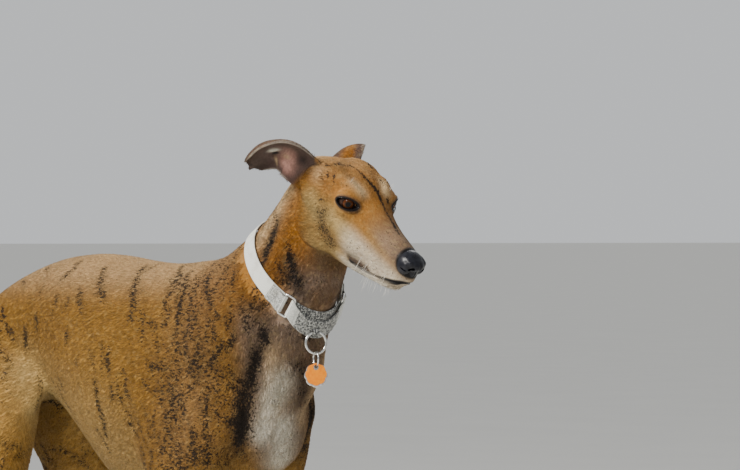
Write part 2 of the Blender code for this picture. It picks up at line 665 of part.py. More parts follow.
def claw(name, side, foot, offset, reach, grow=0.0):
    """One claw, rooted in the toe and curving down to just above the floor."""
    foot_x, foot_y, size = foot
    y = foot_y + offset * size * 1.14
    x = foot_x + 0.054 + reach
    rows = [
        (x - grow, y, 0.0138, CLAW, CLAW, CLAW, 0.0),
        (x + 0.006, y, 0.0126, CLAW * 0.94, CLAW * 0.95, CLAW * 0.95, 0.0),
        (x + 0.0115, y, 0.0090, CLAW * 0.70, CLAW * 0.72, CLAW * 0.72, 0.0),
        (x + 0.0155, y, 0.0048, CLAW * 0.26, CLAW * 0.26, CLAW * 0.26, 0.0),
    ]
    return loft(name, on_side(grown(rows, grow), side), rings=5, sides=7)


def dewclaw(name, side, grow=0.0):
    """The small claw on the inner side of the wrist."""
    x, y, z = 0.034, 0.0625, 0.088
    rows = [
        (x, y, z, CLAW * 0.85, CLAW * 0.85, CLAW * 0.85, 0.0),
        (x + 0.004, y - 0.0045, z - 0.004, CLAW * 0.75, CLAW * 0.75, CLAW * 0.75, 0.0),
        (x + 0.0075, y - 0.0060, z - 0.010, CLAW * 0.28, CLAW * 0.28, CLAW * 0.28, 0.0),
    ]
    return loft(name, on_side(grown(rows, grow), side), rings=4, sides=7)


def claws(grow=0.0):
    made = []
    for side, word in ((RIGHT, "right"), (LEFT, "left")):
        for foot, place in ((FORE_FOOT, "fore"), (HIND_FOOT, "hind")):
            for number, (offset, reach) in enumerate(TOES, start=1):
                made.append(claw(f"claw_{place}_{word}_{number}", side, foot, offset, reach, grow))
        made.append(dewclaw(f"dewclaw_{word}", side, grow))
    return made


def block(name, middle, axes, half):
    """A box: middle, its three directions, and half its size along each."""
    bm = bmesh.new()
    bmesh.ops.create_cube(bm, size=2.0)
    frame = Matrix([Vector(axis) * size for axis, size in zip(axes, half)]).transposed().to_4x4()
    bmesh.ops.transform(bm, matrix=Matrix.Translation(middle) @ frame, verts=bm.verts)
    return from_bmesh(name, bm)


def plate(middle, facing, half_along, half_across):
    """A thin slice that parts the skin in two, facing along the given direction in the XZ plane."""
    facing = Vector(facing).normalized()
    level = Vector((0.0, 1.0, 0.0))
    return block("plate", middle, (facing, facing.cross(level), level), (GAP / 2, half_along, half_across))


def parting_plates():
    plates = [
        plate((0.266, 0.005, 0.765), (0.965, 0.0, 0.262), 0.085, 0.080),
        plate((0.112, 0.0, 0.640), (0.73, 0.0, 0.68), 0.150, 0.130),
        plate((-0.573, 0.0, 0.566), (0.40, 0.0, 0.92), 0.027, 0.030),
        plate((-0.442, 0.0, 0.503), (0.155, 0.0, 1.0), 0.118, 0.130),
    ]
    for side in (RIGHT, LEFT):
        plates.append(plate((0.020, 0.088 * side, 0.386), (0.0, 0.0, 1.0), 0.070, 0.044))
        plates.append(plate((0.028, 0.078 * side, 0.134), (0.0, 0.0, 1.0), 0.040, 0.035))
        plates.append(plate((FORE_FOOT[0], 0.078 * side, 0.056), (0.0, 0.0, 1.0), 0.050, 0.040))
        plates.append(plate((-0.436, 0.078 * side, 0.381), (0.67, 0.0, 0.74), 0.100, 0.076))
        plates.append(plate((-0.584, 0.081 * side, 0.198), (0.0, 0.0, 1.0), 0.040, 0.040))
        plates.append(plate((HIND_FOOT[0], 0.081 * side, 0.056), (0.0, 0.0, 1.0), 0.050, 0.040))
    return plates


PLACES = {
    "head": (0.37, 0.01, 0.77),
    "neck": (0.20, 0.0, 0.69),
    "torso": (-0.15, 0.0, 0.58),
    "tail": (-0.61, 0.0, 0.36),
}
LEG_PLACES = {
    "foreleg": (0.020, 0.078, 0.26),
    "fore_pastern": (0.032, 0.077, 0.095),
    "forepaw": (0.075, 0.078, 0.025),
    "thigh": (-0.44, 0.060, 0.45),
    "gaskin": (-0.52, 0.080, 0.29),
    "hind_pastern": (-0.58, 0.081, 0.13),
    "hindpaw": (-0.54, 0.081, 0.025),
}


def part_flesh(skin):
    """Split the cut skin into its loose bodies and name each after the place it is nearest to."""
    places = {name: Vector(place) for name, place in PLACES.items()}
    for name, (x, y, z) in LEG_PLACES.items():
        places[f"{name}_right"] = Vector((x, -y, z))
        places[f"{name}_left"] = Vector((x, y, z))
    bm = bmesh.new()
    bm.from_mesh(skin.data)
    bpy.data.objects.remove(skin)
    bmesh.ops.remove_doubles(bm, verts=bm.verts, dist=1e-6)
    bmesh.ops.triangulate(bm, faces=bm.faces)
    seen = set()
    made = {}
    for start in bm.verts:
        if start in seen:
            continue
        island, todo = [], [start]
        seen.add(start)
        while todo:
            vert = todo.pop()
            island.append(vert)
            for edge in vert.link_edges:
                other = edge.other_vert(vert)
                if other not in seen:
                    seen.add(other)
                    todo.append(other)
        middle = sum((v.co for v in island), Vector()) / len(island)
        name = min(places, key=lambda key: (places[key] - middle).length)
        order = {vert: i for i, vert in enumerate(island)}
        faces = {face for vert in island for face in vert.link_faces}
        mesh = bpy.data.meshes.new(name)
        mesh.from_pydata([v.co for v in island], [], [[order[v] for v in face.verts] for face in faces])
        if name in made:
            raise ValueError(f"two loose bodies near {name}: {len(island)} points at {tuple(middle)}")
        made[name] = new_object(name, mesh)
    bm.free()
    return list(made.values())


def strip(name, tree, turns, lift, out, half=WEB_WIDTH / 2, thick=WEB_THICK, closed=False):
    """Webbing laid round the neck: at each turn it follows the skin under its two edges."""
    bm = bmesh.new()
    loops = []
    for turn in turns:
        outward = COLLAR_DOWN * math.cos(turn) + Vector((0.0, math.sin(turn), 0.0))
        middle = lift(turn) if callable(lift) else lift
        off = out(turn) if callable(out) else out
        wide = half(turn) if callable(half) else half
        at = [middle - wide, middle, middle + wide]
        reach = [tree.ray_cast(COLLAR_AT + COLLAR_UP * level, outward)[3] for level in at]
        rise = max(0.0, reach[1] - (reach[0] + reach[2]) / 2)
        edges = [
            COLLAR_AT + COLLAR_UP * level + outward * (far + rise + off)
            for level, far in ((at[0], reach[0]), (at[2], reach[2]))
        ]
        face = (edges[1] - edges[0]).normalized()
        away = (outward - face * outward.dot(face)).normalized()
        corners = (edges[0], edges[1], edges[1] + away * thick, edges[0] + away * thick)
        loops.append([bm.verts.new(point) for point in corners])
    pairs = list(zip(loops, loops[1:])) + ([(loops[-1], loops[0])] if closed else [])
    for first, second in pairs:
        for k in range(4):
            bm.faces.new((first[k - 1], first[k], second[k], second[k - 1]))
    if not closed:
        bm.faces.new(loops[0])
        bm.faces.new(loops[-1])
    return from_bmesh(name, bm)


def on_skin(tree, turn, level):
    """The place on the neck in the given direction round the collar, at a height along the neck."""
    outward = COLLAR_DOWN * math.cos(turn) + Vector((0.0, math.sin(turn), 0.0))
    return tree.ray_cast(COLLAR_AT + COLLAR_UP * level, outward)[0]


def slide_frame(tree, turn):
    """Where a slide lies: its middle, the way round the neck, across the webbing, and away from the skin."""
    across = (on_skin(tree, turn, 0.0125) - on_skin(tree, turn, -0.0125)).normalized()
    ahead = on_skin(tree, turn + 0.13, 0.0) - on_skin(tree, turn - 0.13, 0.0)
    ahead = (ahead - across * ahead.dot(across)).normalized()
    away = across.cross(ahead).normalized()
    middle = on_skin(tree, turn, 0.0)
    away = away if away.dot(middle - COLLAR_AT) > 0 else -away
    return middle + away * (WEB_OFF_SKIN + WEB_THICK + GAP + WIRE + 0.0004), ahead, across, away


def bar(name, middle, along_axis, half, radius, sides=10):
    return tube(name, [middle - along_axis * half, middle + along_axis * half], radius, sides)


def drape_lift(turn):
    """How far the outer strand of the loop hangs below the inner one."""
    return -0.0105 * max(0.0, 1 - (turn / STRAND_TURN) ** 2) ** 0.8


def drape_out(turn):
    return 0.0044 + 0.0028 * min(1.0, abs(turn) / STRAND_TURN) ** 2


def slides(frames):
    """The two metal slides that join the band to the loop."""
    made = []
    for side, word in ((RIGHT, "right"), (LEFT, "left")):
        middle, ahead, across, _ = frames[side]
        path = []
        for a, b in ((1, 1), (-1, 1), (-1, -1), (1, -1)):
            corner = middle + ahead * (a * SLIDE_LONG / 2) + across * (b * SLIDE_WIDE / 2)
            for da, db in (((0, -1), (-1, 0)) if a == b else ((-1, 0), (0, -1))):
                path.append(corner + ahead * (da * a * 0.002) + across * (db * b * 0.002))
        made.append(tube(f"collar_slide_{word}", path, WIRE, 8, closed=True))
    return made


def circle(middle, first, second, radius, count):
    return [
        middle + (first * math.cos(math.tau * i / count) + second * math.sin(math.tau * i / count)) * radius
        for i in range(count)
    ]


def tag_disc(middle, across, up, facing, hole):
    """A flat tag with a scalloped edge and one hole."""
    size, thick, hole_radius = TAG
    bm = bmesh.new()
    loops = []
    for half in (-thick / 2, thick / 2):
        loop = []
        for i in range(64):
            angle = math.tau * i / 64
            radius = size * (0.90 + 0.10 * abs(math.cos(4 * angle)) ** 0.6)
            point = middle + (across * math.sin(angle) + up * math.cos(angle)) * radius + facing * half
            loop.append(bm.verts.new(point))
        loops.append(loop)
    for i in range(64):
        bm.faces.new((loops[0][i - 1], loops[0][i], loops[1][i], loops[1][i - 1]))
    bm.faces.new(loops[0])
    bm.faces.new(loops[1])
    disc = from_bmesh("tag", bm)
    return cut(disc, [bar("hole", hole, facing, thick, hole_radius)])


def pendant(keeper):
    """The ring under the loop, and the tag that hangs from it on a small ring."""
    up = Vector((0.0, 0.0, 1.0))
    facing = Vector((math.cos(RING_TURN), math.sin(RING_TURN), 0.0))
    across = up.cross(facing)
    middle = keeper + up * (0.00032 - RING_RADIUS)
    made = [tube("collar_ring", circle(middle, across, up, RING_RADIUS, 24), WIRE, 6, closed=True)]
    radius, wire = TAG_RING
    middle = middle - up * (RING_RADIUS - WIRE - wire - 0.0005) - up * radius
    made.append(tube("tag_ring", circle(middle, facing, up, radius, 20), wire, 6, closed=True))
    hole = middle - up * (radius + TAG[2] - wire - 0.0004)
    made.append(tag_disc(hole - up * (TAG[0] - 0.0045), across, up, facing, hole))
    return made


def collar(tree):
    """Band, the loop that tightens it, the slides between them, and the ring with its tag."""
    frames = {side: slide_frame(tree, SLIDE_TURN * side) for side in (RIGHT, LEFT)}
    turns = np.linspace(SLIDE_TURN + 0.10, math.tau - SLIDE_TURN - 0.10, 36)
    band = strip("collar_band", tree, turns, 0.0, WEB_OFF_SKIN)
    front = np.linspace(-STRAND_TURN, STRAND_TURN, 13)
    loop = strip("collar_loop", tree, front, 0.0, WEB_OFF_SKIN)
    drape = strip("drape", tree, front, drape_lift, drape_out)
    turn = RING_SIDE / 0.065
    outward = COLLAR_DOWN * math.cos(turn) + Vector((0.0, math.sin(turn), 0.0))
    start = COLLAR_AT + COLLAR_UP * drape_lift(turn) + outward * 0.2
    face = surface_tree(drape).ray_cast(start, -outward)[0]
    level_axis = Vector((-math.sin(RING_TURN), math.cos(RING_TURN), 0.0))
    hole = WIRE + 0.0004
    keeper_hole = WIRE + 0.0008
    keeper = face + outward * (keeper_hole + 0.0008)
    keeper_body = bar("keeper", keeper, level_axis, 0.0035, keeper_hole + 0.0016)
    for body, toward, extra in ((band, 1, []), (loop, -1, [drape, keeper_body])):
        places = []
        for side in (RIGHT, LEFT):
            middle, ahead, across, _ = frames[side]
            places.append((middle + ahead * (side * toward * SLIDE_LONG / 2), across))
        add_to(body, extra + [bar("fold", at, axis, WEB_WIDTH / 2, hole + WEB_THICK) for at, axis in places])
        cut(body, [bar("hole", at, axis, WEB_WIDTH, hole) for at, axis in places])
    cut(loop, [bar("hole", keeper, level_axis, 0.0042, keeper_hole)])
    *rings, tag = pendant(keeper)
    return {"webbing": [band, loop], "steel": [*slides(frames), *rings], "tag": [tag]}


def paint(objects, name, colour, roughness, metallic=0.0):
    """Give the objects one plain material each."""
    for obj in objects:
        material = bpy.data.materials.new(f"{name}_{obj.name}")
        material.use_nodes = True
        shader = material.node_tree.nodes["Principled BSDF"]
        shader.inputs["Base Color"].default_value = (*colour, 1.0)
        shader.inputs["Roughness"].default_value = roughness
        shader.inputs["Metallic"].default_value = metallic
        obj.data.materials.clear()
        obj.data.materials.append(material)


def centre_on_origin():
    """Move everything so that the origin lies on the floor under the middle of the model."""
    bpy.context.view_layer.update()
    corners = np.array([vert.co for obj in bpy.data.objects for vert in obj.data.vertices])
    middle = (corners.min(axis=0) + corners.max(axis=0)) / 2
    shift = Matrix.Translation((-middle[0], -middle[1], 0.0))
    for obj in bpy.data.objects:
        obj.data.transform(shift)
    return shift.translation


def main():
    clear_scene()
    skin = whole_skin()
    for zone, triangles in ZONE_TRIANGLES.items():
        thin_out(skin, zone, triangles)
    tree = surface_tree(skin)
    leather, nose_socket = nose()
    sockets = [nose_socket, *claws(GAP), block("floor", (0, 0, -0.05), np.eye(3), (1.0, 0.5, 0.05))]
    sockets.extend(ear("ear_socket", side, GAP) for side in (RIGHT, LEFT))
    groove = mouth_groove(skin)
    for cutters in (
        sockets,
        [groove],
        [lid_opening(side) for side in (RIGHT, LEFT)],
        [eyeball("eye_socket", side, GAP) for side in (RIGHT, LEFT)],
        parting_plates(),
    ):
        cut(skin, cutters)
    flesh = part_flesh(skin)
    flesh.extend(ear(f"ear_{word}", side) for side, word in ((RIGHT, "right"), (LEFT, "left")))
    eyes = [eyeball(f"eye_{word}", side) for side, word in ((RIGHT, "right"), (LEFT, "left"))]
    worn = collar(tree)
    paint(flesh, "coat", (0.50, 0.30, 0.14), 0.75)
    paint([leather], "leather", (0.02, 0.02, 0.022), 0.35)
    paint(eyes, "eye", (0.10, 0.045, 0.015), 0.08)
    paint(claws(), "horn", (0.045, 0.040, 0.036), 0.4)
    paint(worn["webbing"], "webbing", (0.36, 0.36, 0.35), 0.8)
    paint(worn["steel"], "steel", (0.62, 0.62, 0.62), 0.25, 1.0)
    paint(worn["tag"], "enamel", (0.90, 0.32, 0.03), 0.35)
    return centre_on_origin()


if __name__ == "__main__":
    main()
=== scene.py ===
"""The finished looks of a life-size greyhound: one skin with its brindle coat, the eyes, nose and claws, and
the webbing collar with its ring and tag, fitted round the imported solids.

Everything is shaped in the solids' modelling frame, where x = 0 lies under the withers, X points forward, Y to
the dog's left and Z up from the floor. set_down() then moves each finished piece into the shared frame.
"""

import math

import bmesh
import bpy
import numpy as np
from mathutils import Matrix, Vector
from mathutils.bvhtree import BVHTree
from mathutils.kdtree import KDTree


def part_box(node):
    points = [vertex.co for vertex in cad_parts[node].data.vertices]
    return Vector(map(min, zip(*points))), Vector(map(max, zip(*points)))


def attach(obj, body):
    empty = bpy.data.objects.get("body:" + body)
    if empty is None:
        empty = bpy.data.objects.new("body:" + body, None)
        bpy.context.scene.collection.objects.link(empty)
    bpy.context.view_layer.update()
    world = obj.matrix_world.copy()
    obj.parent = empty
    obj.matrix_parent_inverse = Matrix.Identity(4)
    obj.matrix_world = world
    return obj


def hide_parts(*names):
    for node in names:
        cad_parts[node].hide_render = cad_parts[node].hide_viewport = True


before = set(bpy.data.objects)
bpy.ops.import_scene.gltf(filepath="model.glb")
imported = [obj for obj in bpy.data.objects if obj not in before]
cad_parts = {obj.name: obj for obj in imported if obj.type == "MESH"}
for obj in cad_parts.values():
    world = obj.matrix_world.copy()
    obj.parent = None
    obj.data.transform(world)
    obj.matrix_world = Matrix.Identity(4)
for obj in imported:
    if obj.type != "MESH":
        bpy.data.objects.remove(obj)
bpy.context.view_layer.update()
bpy.ops.object.select_all(action="DESELECT")

SHIFT = Vector((0.12355440855, 0.0, 0.0))
FINE = 0.0013
COAT_DEPTH = 0.0010
FACE_DEPTH = 0.0006
SKIN_TRIANGLES = 160000
GAP = 0.0003
BODY_VOXEL = 0.005
LIMB_VOXEL = 0.003
HEAD_VOXEL = 0.0018
HEAD_AT = Vector((0.343, 0.010, 0.780))
HEAD_PITCH = math.radians(28)
HEAD_TURN = math.radians(5)
HEAD = Matrix.Translation(HEAD_AT) @ Matrix.Rotation(HEAD_TURN, 4, "Z") @ Matrix.Rotation(HEAD_PITCH, 4, "Y")
RIGHT, LEFT = -1, 1
# Feet: x, y and size, and the sideways place and reach of each toe
FORE_FOOT = (0.049, 0.078, 1.0)
HIND_FOOT = (-0.566, 0.081, 0.94)
TOES = ((-0.0215, 0.0), (-0.0075, 0.010), (0.0075, 0.010), (0.0215, 0.0))
# Eyes in the head's frame: eyeball, opening between the lids (length, rise, fall and how far it lies toward
# the nose), and how far outward lids and gaze point
EYE_AT = (-0.002, 0.0300, 0.0045)
EYE_RADIUS = 0.0118
EYE_OPENING = (0.0285, 0.0070, 0.0060, 0.0012)
LIDS_OUT = math.radians(50)
GAZE_OUT = math.radians(36)
# Line of the mouth in the head's frame: x, z and the direction it is looked for in, in degrees from straight
# ahead
MOUTH = [
    (0.028, -0.0615, 90),
    (0.045, -0.0612, 90),
    (0.060, -0.0600, 90),
    (0.072, -0.0582, 90),
    (0.084, -0.0558, 90),
    (0.093, -0.0530, 86),
    (0.096, -0.0505, 62),
    (0.096, -0.0480, 32),
    (0.096, -0.0470, 0),
]
# Ear stations in the head's frame: x, y, z of the back of the cup, width, how far the upper and the lower
# edge curl round in radians, thickness. The left ear is folded closer to the neck, so it is narrower too.
EAR = [
    (-0.0790, 0.0280, -0.0010, 0.042, 1.25, 1.20, 0.0030),
    (-0.0880, 0.0400, 0.0080, 0.050, 1.35, 1.15, 0.0028),
    (-0.1010, 0.0510, 0.0150, 0.053, 1.60, 1.05, 0.0024),
    (-0.1150, 0.0600, 0.0110, 0.048, 1.95, 0.95, 0.0022),
    (-0.1270, 0.0665, -0.0010, 0.037, 2.20, 0.95, 0.0021),
    (-0.1360, 0.0705, -0.0150, 0.023, 2.20, 1.00, 0.0019),
    (-0.1400, 0.0720, -0.0250, 0.011, 2.10, 1.05, 0.0016),
]
EAR_SPREAD = {RIGHT: 1.0, LEFT: 0.30}
EAR_WIDTH = {RIGHT: 1.0, LEFT: 0.72}
EAR_FACES = ((0.70, 0.66, 0.12), (0.42, 0.80, -0.38))
CLAW = 0.0032
# Collar: middle of the neck there, direction from the nape to the throat, and the webbing
COLLAR_AT = Vector((0.1985, 0.002, 0.7040))
COLLAR_DOWN = Vector((1.0, 0.0, -1.118)).normalized()
COLLAR_UP = Vector((1.118, 0.0, 1.0)).normalized()
WEB_WIDTH = 0.022
WEB_THICK = 0.0019
WEB_OFF_SKIN = 0.0012
SLIDE_TURN = math.radians(31)
STRAND_TURN = SLIDE_TURN - 0.090
SLIDE_LONG = 0.0130
SLIDE_WIDE = 0.0268
RING_TURN = math.radians(-15)
WIRE = 0.0015
RING_RADIUS = 0.0130
RING_SIDE = -0.004
TAG_RING = (0.0090, 0.0010)
TAG = (0.0150, 0.0018, 0.0021)


def in_metres(rows):
    """Lengths given in millimetres, in rows within rows, as metres."""
    return [in_metres(row) if isinstance(row, (tuple, list)) else row / 1000 for row in rows]


def section_rows(rows):
    """Sections in millimetres, each with its narrowing as a share."""
    return [(*in_metres(sizes), narrowing) for *sizes, narrowing in rows]


def round_rows(rows):
    """Sections in millimetres that don't narrow."""
    return [(*in_metres(sizes), 0.0) for sizes in rows]


def mass_rows(rows):
    """Middles and half sizes in millimetres, each with its angles in degrees."""
    return [(*in_metres((middle, radii)), *angles) for middle, radii, *angles in rows]


# Torso sections: x, top, bottom, height of the widest place, half width, how far the underside narrows
TORSO = section_rows([
    (-548, 622, 572, 600, 28, 0.0),
    (-520, 644, 545, 600, 50, 0.0),
    (-470, 670, 532, 610, 64, 0.0),
    (-420, 690, 530, 620, 69, 0.1),
    (-370, 705, 528, 630, 67, 0.2),
    (-320, 715, 508, 630, 69, 0.3),
    (-260, 720, 466, 620, 80, 0.4),
    (-200, 719, 424, 600, 93, 0.45),
    (-140, 713, 394, 580, 101, 0.5),
    (-80, 709, 378, 570, 101, 0.5),
    (-20, 710, 374, 565, 93, 0.5),
    (40, 714, 384, 560, 80, 0.45),
    (100, 700, 408, 550, 66, 0.4),
    (145, 655, 438, 540, 52, 0.3),
    (175, 600, 466, 530, 36, 0.1),
    (190, 550, 495, 522, 16, 0.0),
])
# Neck sections up to the skull: x, y, z of the middle, half width, depth to the nape, depth to the throat,
# narrowing
NECK = section_rows([
    (70, 0, 590, 78, 124, 124, 0.2),
    (122.5, 0, 622.5, 73, 119, 121, 0.2),
    (174, 1, 673.5, 62, 90, 92, 0.2),
    (211.5, 3, 714, 55, 72, 74, 0.2),
    (242.5, 5, 755, 50, 60, 62, 0.2),
    (269, 7, 790, 46, 51, 54, 0.1),
    (300, 9, 806, 36, 34, 40, 0.0),
])
TAIL = round_rows([
    (-470, 0, 644, 30, 22, 26),
    (-520, 0, 626, 24, 20, 22),
    (-560, 0, 588, 19, 18, 18),
    (-586, 0, 530, 16.5, 16, 16),
    (-602, 0, 450, 14.5, 14, 14),
    (-612, 0, 370, 12.5, 12, 12),
    (-620, 0, 300, 10.5, 10.5, 10.5),
    (-632, 0, 240, 9, 9, 9),
    (-656, 0, 196, 7.8, 7.8, 7.8),
    (-690, 0, 176, 6.2, 6.2, 6.2),
])
# Upper arm and thigh, which blend into the trunk: x, y, z, half width, depth to the front and to the back,
# narrowing
UPPER_ARM = round_rows([
    (112, 40, 580, 31, 46, 50),
    (108, 45, 530, 33, 50, 60),
    (92, 51, 488, 34, 50, 66),
    (66, 60, 452, 32, 50, 64),
    (38, 70, 420, 28, 42, 52),
    (20, 76, 390, 26, 34, 40),
    (16, 78, 355, 24, 30, 30),
])
THIGH = round_rows([
    (-440, 30, 640, 34, 60, 75),
    (-442, 40, 590, 44, 78, 96),
    (-438, 50, 540, 47, 88, 100),
    (-430, 58, 490, 45, 84, 92),
    (-424, 66, 440, 40, 70, 78),
    (-436, 72, 392, 34, 54, 62),
    (-466, 77, 345, 28, 36, 42),
    (-500, 80, 305, 22, 26, 30),
])
# Lower limb sections, from inside the muscle down to the foot
FORELEG = round_rows([
    (24, 72, 430, 20, 28, 30),
    (14, 77, 400, 24, 33, 36),
    (14, 79, 365, 24, 30, 31),
    (18, 79, 325, 22, 27, 25),
    (22, 78, 275, 18.5, 22, 19.5),
    (25, 77, 220, 15.8, 17.8, 16.2),
    (26, 76, 180, 17.2, 17.2, 16.7),
    (27, 76, 155, 19, 17.8, 18.6),
    (29, 76, 130, 17, 15.8, 18.2),
    (35, 76, 98, 16.2, 13.4, 14.5),
    (44, 77, 66, 18.4, 13.8, 13.4),
    (53, 78, 42, 21.5, 14, 14),
])
HINDLEG = round_rows([
    (-432, 70, 420, 30, 40, 45),
    (-446, 76, 375, 29, 42, 46),
    (-476, 80, 332, 24.5, 31, 36),
    (-518, 81, 284, 19, 22, 26),
    (-556, 81, 246, 17.2, 19, 22),
    (-577, 81, 212, 18, 19, 21.5),
    (-584, 81, 175, 16, 15.7, 17.2),
    (-582, 81, 125, 14.4, 14, 15),
    (-574, 81, 80, 15.4, 13.2, 13.8),
    (-562, 81, 46, 19.5, 13.5, 14),
])
ACHILLES = round_rows([
    (-480, 79, 400, 20, 22, 22),
    (-520, 80, 348, 14, 15, 15),
    (-562, 81, 300, 9.2, 9.8, 9.8),
    (-596, 81, 266, 9.6, 9.8, 9.8),
    (-600, 81, 236, 12.2, 14.2, 14.2),
])
# Muscles of the trunk: middle, half sizes, and tilt about Y in degrees. Each is made on both sides.
TRUNK_MASSES = mass_rows([
    ((74, 40, 606), (46, 30, 106), -30),
    ((132, 40, 528), (42, 30, 46), 0),
    ((20, 56, 500), (66, 34, 84), 38),
    ((-30, 64, 545), (56, 28, 64), 30),
    ((148, 18, 505), (38, 26, 50), 0),
    ((-240, 26, 676), (150, 32, 36), 0),
    ((-370, 36, 648), (80, 30, 36), -12),
    ((-455, 40, 604), (80, 42, 50), -20),
    ((-475, 46, 540), (66, 40, 80), 0),
    ((-365, 52, 545), (50, 14, 40), 35),
    ((150, 30, 640), (75, 28, 42), -42),
])
LIMB_MASSES = mass_rows([
    ((-8, 79, 398), (18, 14, 22), 0),
    ((28, 78, 335), (19, 19, 52), 0),
    ((-388, 70, 440), (32, 24, 44), 12),
    ((-386, 73, 414), (20, 21, 22), 0),
    ((-482, 78, 380), (24, 22, 52), 40),
    ((-556, 81, 282), (16, 6, 46), 45),
    ((6, 76, 140), (6.5, 8, 9), 0),
])
# Skull and muzzle sections in the head's own frame: x along the bridge of the nose from between the eyes
SKULL = section_rows([
    (-122, -4, -30, -16, 16, 0.0),
    (-110, 10, -45, -10, 31, 0.0),
    (-92, 19, -56, -10, 40.5, 0.0),
    (-65, 28, -62, -12, 45.5, 0.0),
    (-40, 32.5, -64, -18, 46.5, 0.0),
    (-18, 31, -64, -23, 45, 0.0),
    (2, 23.5, -64, -26, 41, 0.0),
    (20, 13, -63, -29, 35.5, 0.0),
    (40, 4.5, -61, -31, 30, 0.0),
    (62, -1.5, -58.5, -31, 25.6, 0.0),
    (85, -5.5, -55.5, -31, 21.5, 0.0),
    (101, -8.8, -52.5, -31, 17, 0.0),
    (111, -15, -49.5, -33, 11.5, 0.0),
    (116, -23, -45, -34, 6, 0.0),
])
JAW = section_rows([
    (-66, -38, -70, -55, 24, 0.0),
    (-46, -38, -82, -60, 31, 0.1),
    (-15, -42, -82, -60, 29.5, 0.2),
    (18, -46, -79.5, -60, 25, 0.2),
    (50, -49, -74.5, -60, 20.2, 0.1),
    (76, -50, -70, -58, 15, 0.0),
    (92, -50, -66, -56, 11, 0.0),
    (102, -50, -60.5, -55, 6.2, 0.0),
])
# Head masses: middle, half sizes, tilt about Y and turn about Z in degrees, on both sides
SKULL_MASSES = mass_rows([
    ((-26, 38.5, -19), (44, 8, 12), 3, -14),
    ((-40, 30, -44), (42, 16, 34), 0, -8),
    ((-56, 24, 11), (40, 18, 20), -10, 0),
    ((-14, 25, 16), (20, 13, 11), 20, -20),
    ((22, 23, -32), (44, 13, 23), 0, -13),
])
FACE_MASSES = mass_rows([
    ((-6, 25, 16.5), (19, 11, 7), 14, -20),
    ((-2, 29.8, 4), (18, 15.2, 15.2), 0, -40),
    ((4, 29, -8), (18, 11, 12), 0, -38),
    ((68, 13, -48), (40, 8.8, 11.5), 2, -7),
    ((92, 9.2, -42), (17.5, 8.8, 12.5), 0, -12),
])
# Lines of muscle, tendon and vein on the right side, made on both: how far they stand out, width, and points
MUSCLE_LINES = in_metres([
    (-2.4, 13, [(-12, -60, 665), (-40, -90, 600), (-48, -98, 540), (-40, -92, 480)]),
    (1.6, 11, [(30, -35, 690), (62, -60, 640), (88, -70, 580)]),
    (-2, 7, [(232, -43, 765), (220, -48, 734), (206, -51, 705)]),
    (-2.6, 10, [(255, -36, 712), (215, -50, 655), (180, -55, 600)]),
    (3, 10, [(211, -39, 604), (205, -31, 567), (188, -23, 525)]),
    (-4, 10, [(200, -50, 612), (178, -49, 567), (168, -50, 530), (150, -48, 480)]),
    (-2.2, 11, [(-400, -78, 600), (-428, -96, 520), (-440, -102, 440)]),
    (-2, 10, [(-485, -72, 610), (-498, -86, 530), (-488, -92, 440)]),
    (1.2, 6, [(-130, -92, 610), (-150, -100, 560), (-140, -94, 500)]),
    (1.2, 6, [(-165, -90, 610), (-188, -96, 560), (-178, -90, 500)]),
    (1.2, 6, [(-200, -86, 612), (-224, -90, 565), (-216, -80, 510)]),
    (1, 6, [(-236, -80, 615), (-258, -81, 575), (-252, -72, 530)]),
    (0.9, 2.8, [(34, -88, 370), (42, -80, 300), (41, -72, 230)]),
    (-1.4, 6, [(0, -96, 330), (6, -94, 270), (10, -90, 215)]),
    (1.2, 4, [(-540, -94, 300), (-556, -96, 262), (-580, -94, 225)]),
    (-1.2, 4.5, [(-578, -94, 205), (-578, -93, 160), (-572, -92, 110)]),
])
# Fold and crease over the lip, cheek, vein and brow of the face, made on both sides: the same, in the head's frame
FACE_FOLDS = in_metres([
    (1.1, 3.5, [(16, -31, -57.5), (30, -26, -58.5), (46, -22.5, -58)]),
    (-0.6, 2.2, [(12, -32.5, -52), (30, -27.5, -53), (52, -22.5, -53)]),
    (0.8, 6, [(-26, -46, -18), (-4, -42, -22), (22, -34, -26)]),
    (0.4, 2.5, [(10, -33, -10), (30, -28, -24), (52, -22, -34)]),
    (0.9, 5, [(-20, -34, 20), (-6, -26, 23.5), (4, -17, 19)]),
])
